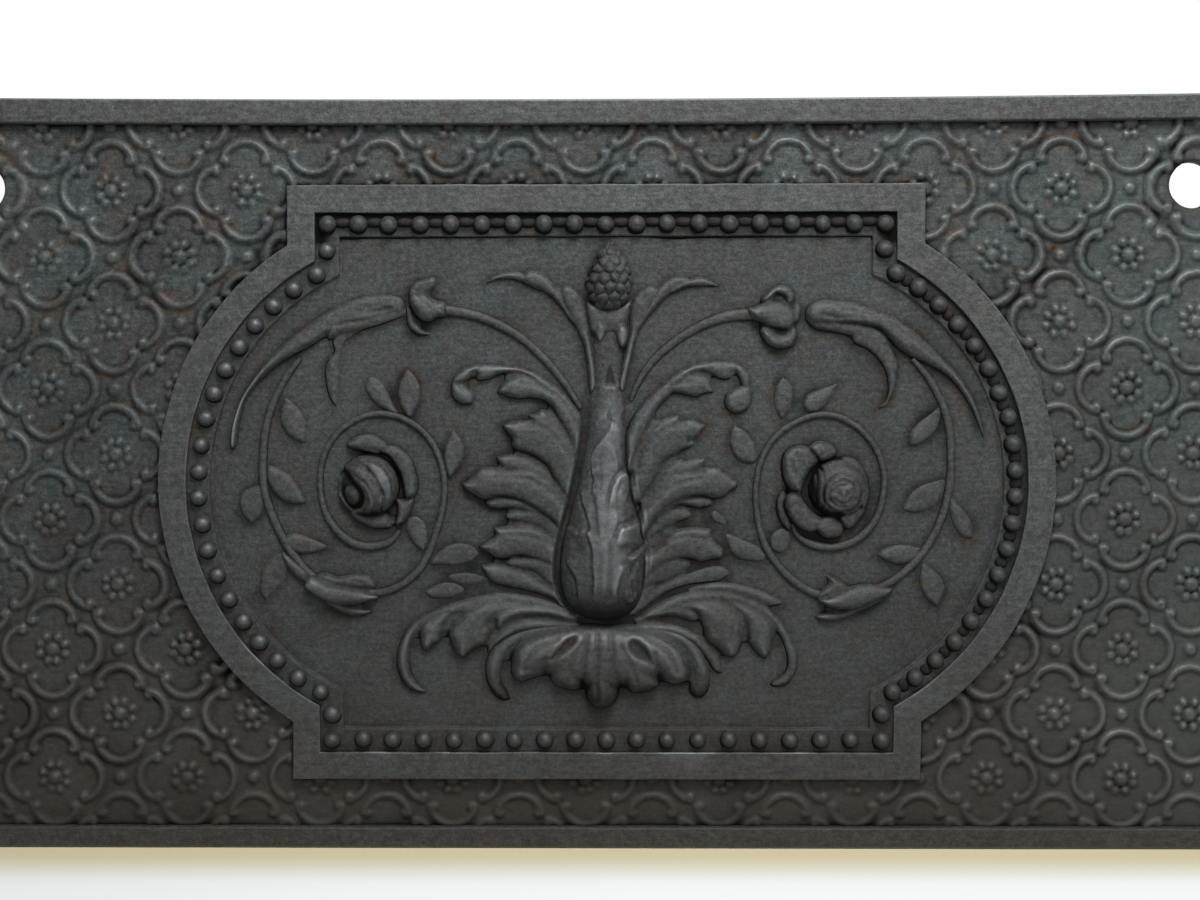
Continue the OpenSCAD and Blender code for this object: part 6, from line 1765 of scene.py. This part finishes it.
def rightHeart(x, z, level):
    h = roseHearts
    far = farFrom(x, z, h["rightAt"]) / h["rightRadius"]
    ball = ballLevel(far, h["rightHigh"])
    for wall, crown, points in rightPetals:
        addLobe(x, z, ball, wall, crown, points)
    dx, dz = x - h["rightDiscAt"][0], z - h["rightDiscAt"][1]
    disc, turn = np.hypot(dx, dz) + noiseSum(x, z, h["waver"]), np.arctan2(dz, dx)
    # Ruffles stand upright on its left side
    bowed = x + h["ruffleBow"] * (z + 3) ** 2
    ruffle = np.cos(h["ruffleTurns"] * bowed + noiseSum(x, z, h["ruffleWaver"]))
    ball += h["ruffle"] * ruffle * smoothStep(*h["ruffleX"], x)
    broken = 0.5 + 0.5 * np.sin(turn * 2 + disc * 0.9)
    for reach, depth in h["rings"]:
        ball -= depth * (0.35 + 0.65 * broken) * bell(disc - reach, h["ringWidth"])
    ball += noiseSum(x, z, h["grain"]) * (disc < 9)
    np.maximum(level, np.where(far < 1.1, ball, -9), out=level)


makeLeaves("rose_left", leftHeart)
makeLeaves("rose_right", rightHeart)
print("turned pieces and roses made")


# The field behind the foliage: nearly flat, with soot and painted shade close to whatever stands on
# it
field = {
    "step": 1.5, "halfX": 198.0, "halfZ": 124.5, "skin": ((0.12, 34, 71),),
    "tone": ((0.06, 26, 72), (0.05, 9, 73)), "face": 0.5, "sootAndShade": 0.19, "near": 0.6,
    "borderSootAndShade": 0.12, "borderSootAndShadeMm": 2.2,
}


def makeField():
    look, step = field, field["step"]
    x = np.arange(-look["halfX"], look["halfX"] + 0.1, step)
    z = np.arange(-look["halfZ"], look["halfZ"] + 0.1, step)
    x, z = np.meshgrid(cartouche["middleX"] + x, cartouche["middleZ"] + z)
    inside = cartoucheDistance(x, z) < 0.6 - ledgeInset
    mask = inside[:-1, :-1] & inside[1:, :-1] & inside[:-1, 1:] & inside[1:, 1:]
    touched = np.zeros(x.shape)
    marks = np.vstack(footprints)
    column = np.clip(np.round((marks[:, 0] - x[0, 0]) / step).astype(int), 0, x.shape[1] - 1)
    row = np.clip(np.round((marks[:, 1] - z[0, 0]) / step).astype(int), 0, x.shape[0] - 1)
    touched[row, column] = 1
    # Part of it is a painted shadow, shifted below and to the left of what stands there, away from
    # the light
    beside = windowMean(touched, 1)
    sootAndShade = look["near"] * windowMean(beside, 1)
    sootAndShade += (1 - look["near"]) * np.roll(beside, (-1, -1), (0, 1))
    level = fieldLevel + noiseSum(x, z, look["skin"]) * (1 - sootAndShade)
    border = np.clip(-cartoucheDistance(x, z) - ledgeInset - 1, 0, 99)
    exposed = look["face"] - look["sootAndShade"] * sootAndShade + noiseSum(x, z, look["tone"])
    # Darker beside the ledge's step, soot and painted shade
    exposed -= look["borderSootAndShade"] * np.exp(-border / look["borderSootAndShadeMm"])
    points = pointsOf(x, z, level)
    points, quads, exposed = kept(points, gridQuads(*x.shape), exposed, mask.ravel())
    points, faces, exposed = closed(points, quads, np.clip(exposed, 0, 1), sunkLevel)
    makePiece("field_face", points, faces, exposed, fieldFinish,
              ["cartouche_panel"], sharp=70)


makeField()
print("field made")

for node in ("frame_studs", "ornament_studs", "washers", "nuts"):
    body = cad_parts[node]
    if not body.material_slots:
        body.data.materials.append(rustedSteel)
    for holder in body.material_slots:
        holder.material = rustedSteel
print("fasteners finished")

# A pale floor, one soft lamp above the plate's middle, a weak one from the upper right
# and one for its back
light = {
    "floor": "#e4e8e8", "floorWarmShade": "#c8be9d", "floorNear": 0.5, "floorFar": 1.1,
    "floorHalf": 3.0, "floorRough": 0.6, "world": 0.26, "aim": (0.0, 0.0, 0.18),
    "warmShadeFrontY": (-0.075, -0.02), "warmShadeBackY": (0.07, 0.02), "warmShadeEndX": (0.42, 0.32),
    "keyPlace": (0.12, -0.62, 1.04), "keySize": 0.36, "keyWatts": 14.5,
    "sidePlace": (1.3, -1.25, 1.25), "sideSize": 0.5, "sideWatts": 10.0,
    "backPlace": (0.5, 1.35, 0.55), "backSize": 0.6, "backWatts": 14.0,
}


def makeFloor():
    size = light["floorHalf"]
    mesh = bpy.data.meshes.new("floor")
    corners = [(a * size, b * size, 0) for a, b in ((-1, -1), (1, -1), (1, 1), (-1, 1))]
    mesh.from_pydata(corners, [], [(0, 1, 2, 3)])
    floor = bpy.data.objects.new("floor", mesh)
    bpy.context.collection.objects.link(floor)
    finish, tree, place = newFinish("PaleFloor")
    axes = addNode(tree, "SeparateXYZ", inputs={"Vector": place}).outputs
    # A painted warm shadow in a strip that runs along under the plate
    warmShade = maths(tree, "MULTIPLY", rangeOf(tree, axes["Y"], *light["warmShadeFrontY"]),
                 rangeOf(tree, axes["Y"], *light["warmShadeBackY"]))
    side = maths(tree, "ABSOLUTE", axes["X"])
    warmShade = maths(tree, "MULTIPLY", warmShade, rangeOf(tree, side, *light["warmShadeEndX"]))
    tone = mixColours(tree, warmShade, linear(light["floor"]), linear(light["floorWarmShade"]))
    shader = addNode(tree, "BsdfPrincipled", inputs={
        "Base Color": tone, "Roughness": light["floorRough"]})
    # Further off it fades into the white room
    away = addNode(tree, "VectorMath", {"operation": "LENGTH"}, {0: place}).outputs["Value"]
    clear = addNode(tree, "BsdfTransparent")
    fade = addNode(tree, "MixShader", inputs={
        0: rangeOf(tree, away, light["floorNear"], light["floorFar"]),
        1: shader.outputs["BSDF"], 2: clear.outputs["BSDF"]})
    addNode(tree, "OutputMaterial", inputs={"Surface": fade.outputs["Shader"]})
    mesh.materials.append(finish)


def makeLamp(name, place, size, watts):
    lamp = bpy.data.lights.new(name, "AREA")
    lamp.shape = "DISK"
    lamp.size = size
    lamp.energy = watts
    holder = bpy.data.objects.new(name, lamp)
    holder.location = place
    ahead = Vector(light["aim"]) - Vector(place)
    holder.rotation_euler = ahead.to_track_quat("-Z", "Y").to_euler()
    bpy.context.collection.objects.link(holder)


def makeWorld():
    world = bpy.data.worlds.new("white_studio")
    bpy.context.scene.world = world
    world.use_nodes = True
    tree = world.node_tree
    tree.nodes.clear()
    path = addNode(tree, "LightPath")
    seen = path.outputs["Is Camera Ray"]
    for kind in ("Is Glossy Ray", "Is Transmission Ray"):
        seen = maths(tree, "MAXIMUM", seen, path.outputs[kind])
    strength = addNode(tree, "MapRange", inputs={
        "Value": seen, "To Min": light["world"], "To Max": 1.0}).outputs["Result"]
    glow = addNode(tree, "Background", inputs={"Color": (1, 1, 1, 1), "Strength": strength})
    addNode(tree, "OutputWorld", inputs={"Surface": glow.outputs["Background"]})


makeFloor()
for word in ("key", "side", "back"):
    makeLamp(word + "_lamp", *(light[word + what] for what in ("Place", "Size", "Watts")))
makeWorld()

# The camera stands where the lattice of the ground, seen in the photograph, puts it:
# place in metres, turn, tilt and lean in degrees, focal length in pixels of 1200
camera = {"place": (0.01857, -0.85326, 0.24570), "turn": -0.7467, "tilt": -3.0637,
          "lean": -0.1027, "focalPixels": 1700.0, "framePixels": 1200.0,
          "sensorMm": 36.0, "nearest": 0.05}


def makeCamera():
    turn, tilt, lean = (math.radians(camera[k]) for k in ("turn", "tilt", "lean"))
    level = math.cos(tilt)
    ahead = Vector((math.sin(turn) * level, math.cos(turn) * level, math.sin(tilt)))
    right = Vector((math.cos(turn), -math.sin(turn), 0))
    up = right.cross(ahead)
    leanRight = right * math.cos(lean) + up * math.sin(lean)
    leanUp = up * math.cos(lean) - right * math.sin(lean)
    data = bpy.data.cameras.new("camera")
    data.sensor_width = camera["sensorMm"]
    data.lens = camera["sensorMm"] * camera["focalPixels"] / camera["framePixels"]
    data.clip_start = camera["nearest"]
    view = bpy.data.objects.new("camera", data)
    basis = Matrix((leanRight, leanUp, -ahead)).transposed()
    view.matrix_world = Matrix.Translation(camera["place"]) @ basis.to_4x4()
    bpy.context.collection.objects.link(view)
    bpy.context.scene.camera = view


makeCamera()
bpy.context.scene.view_settings.view_transform = "Standard"
print("scene made")
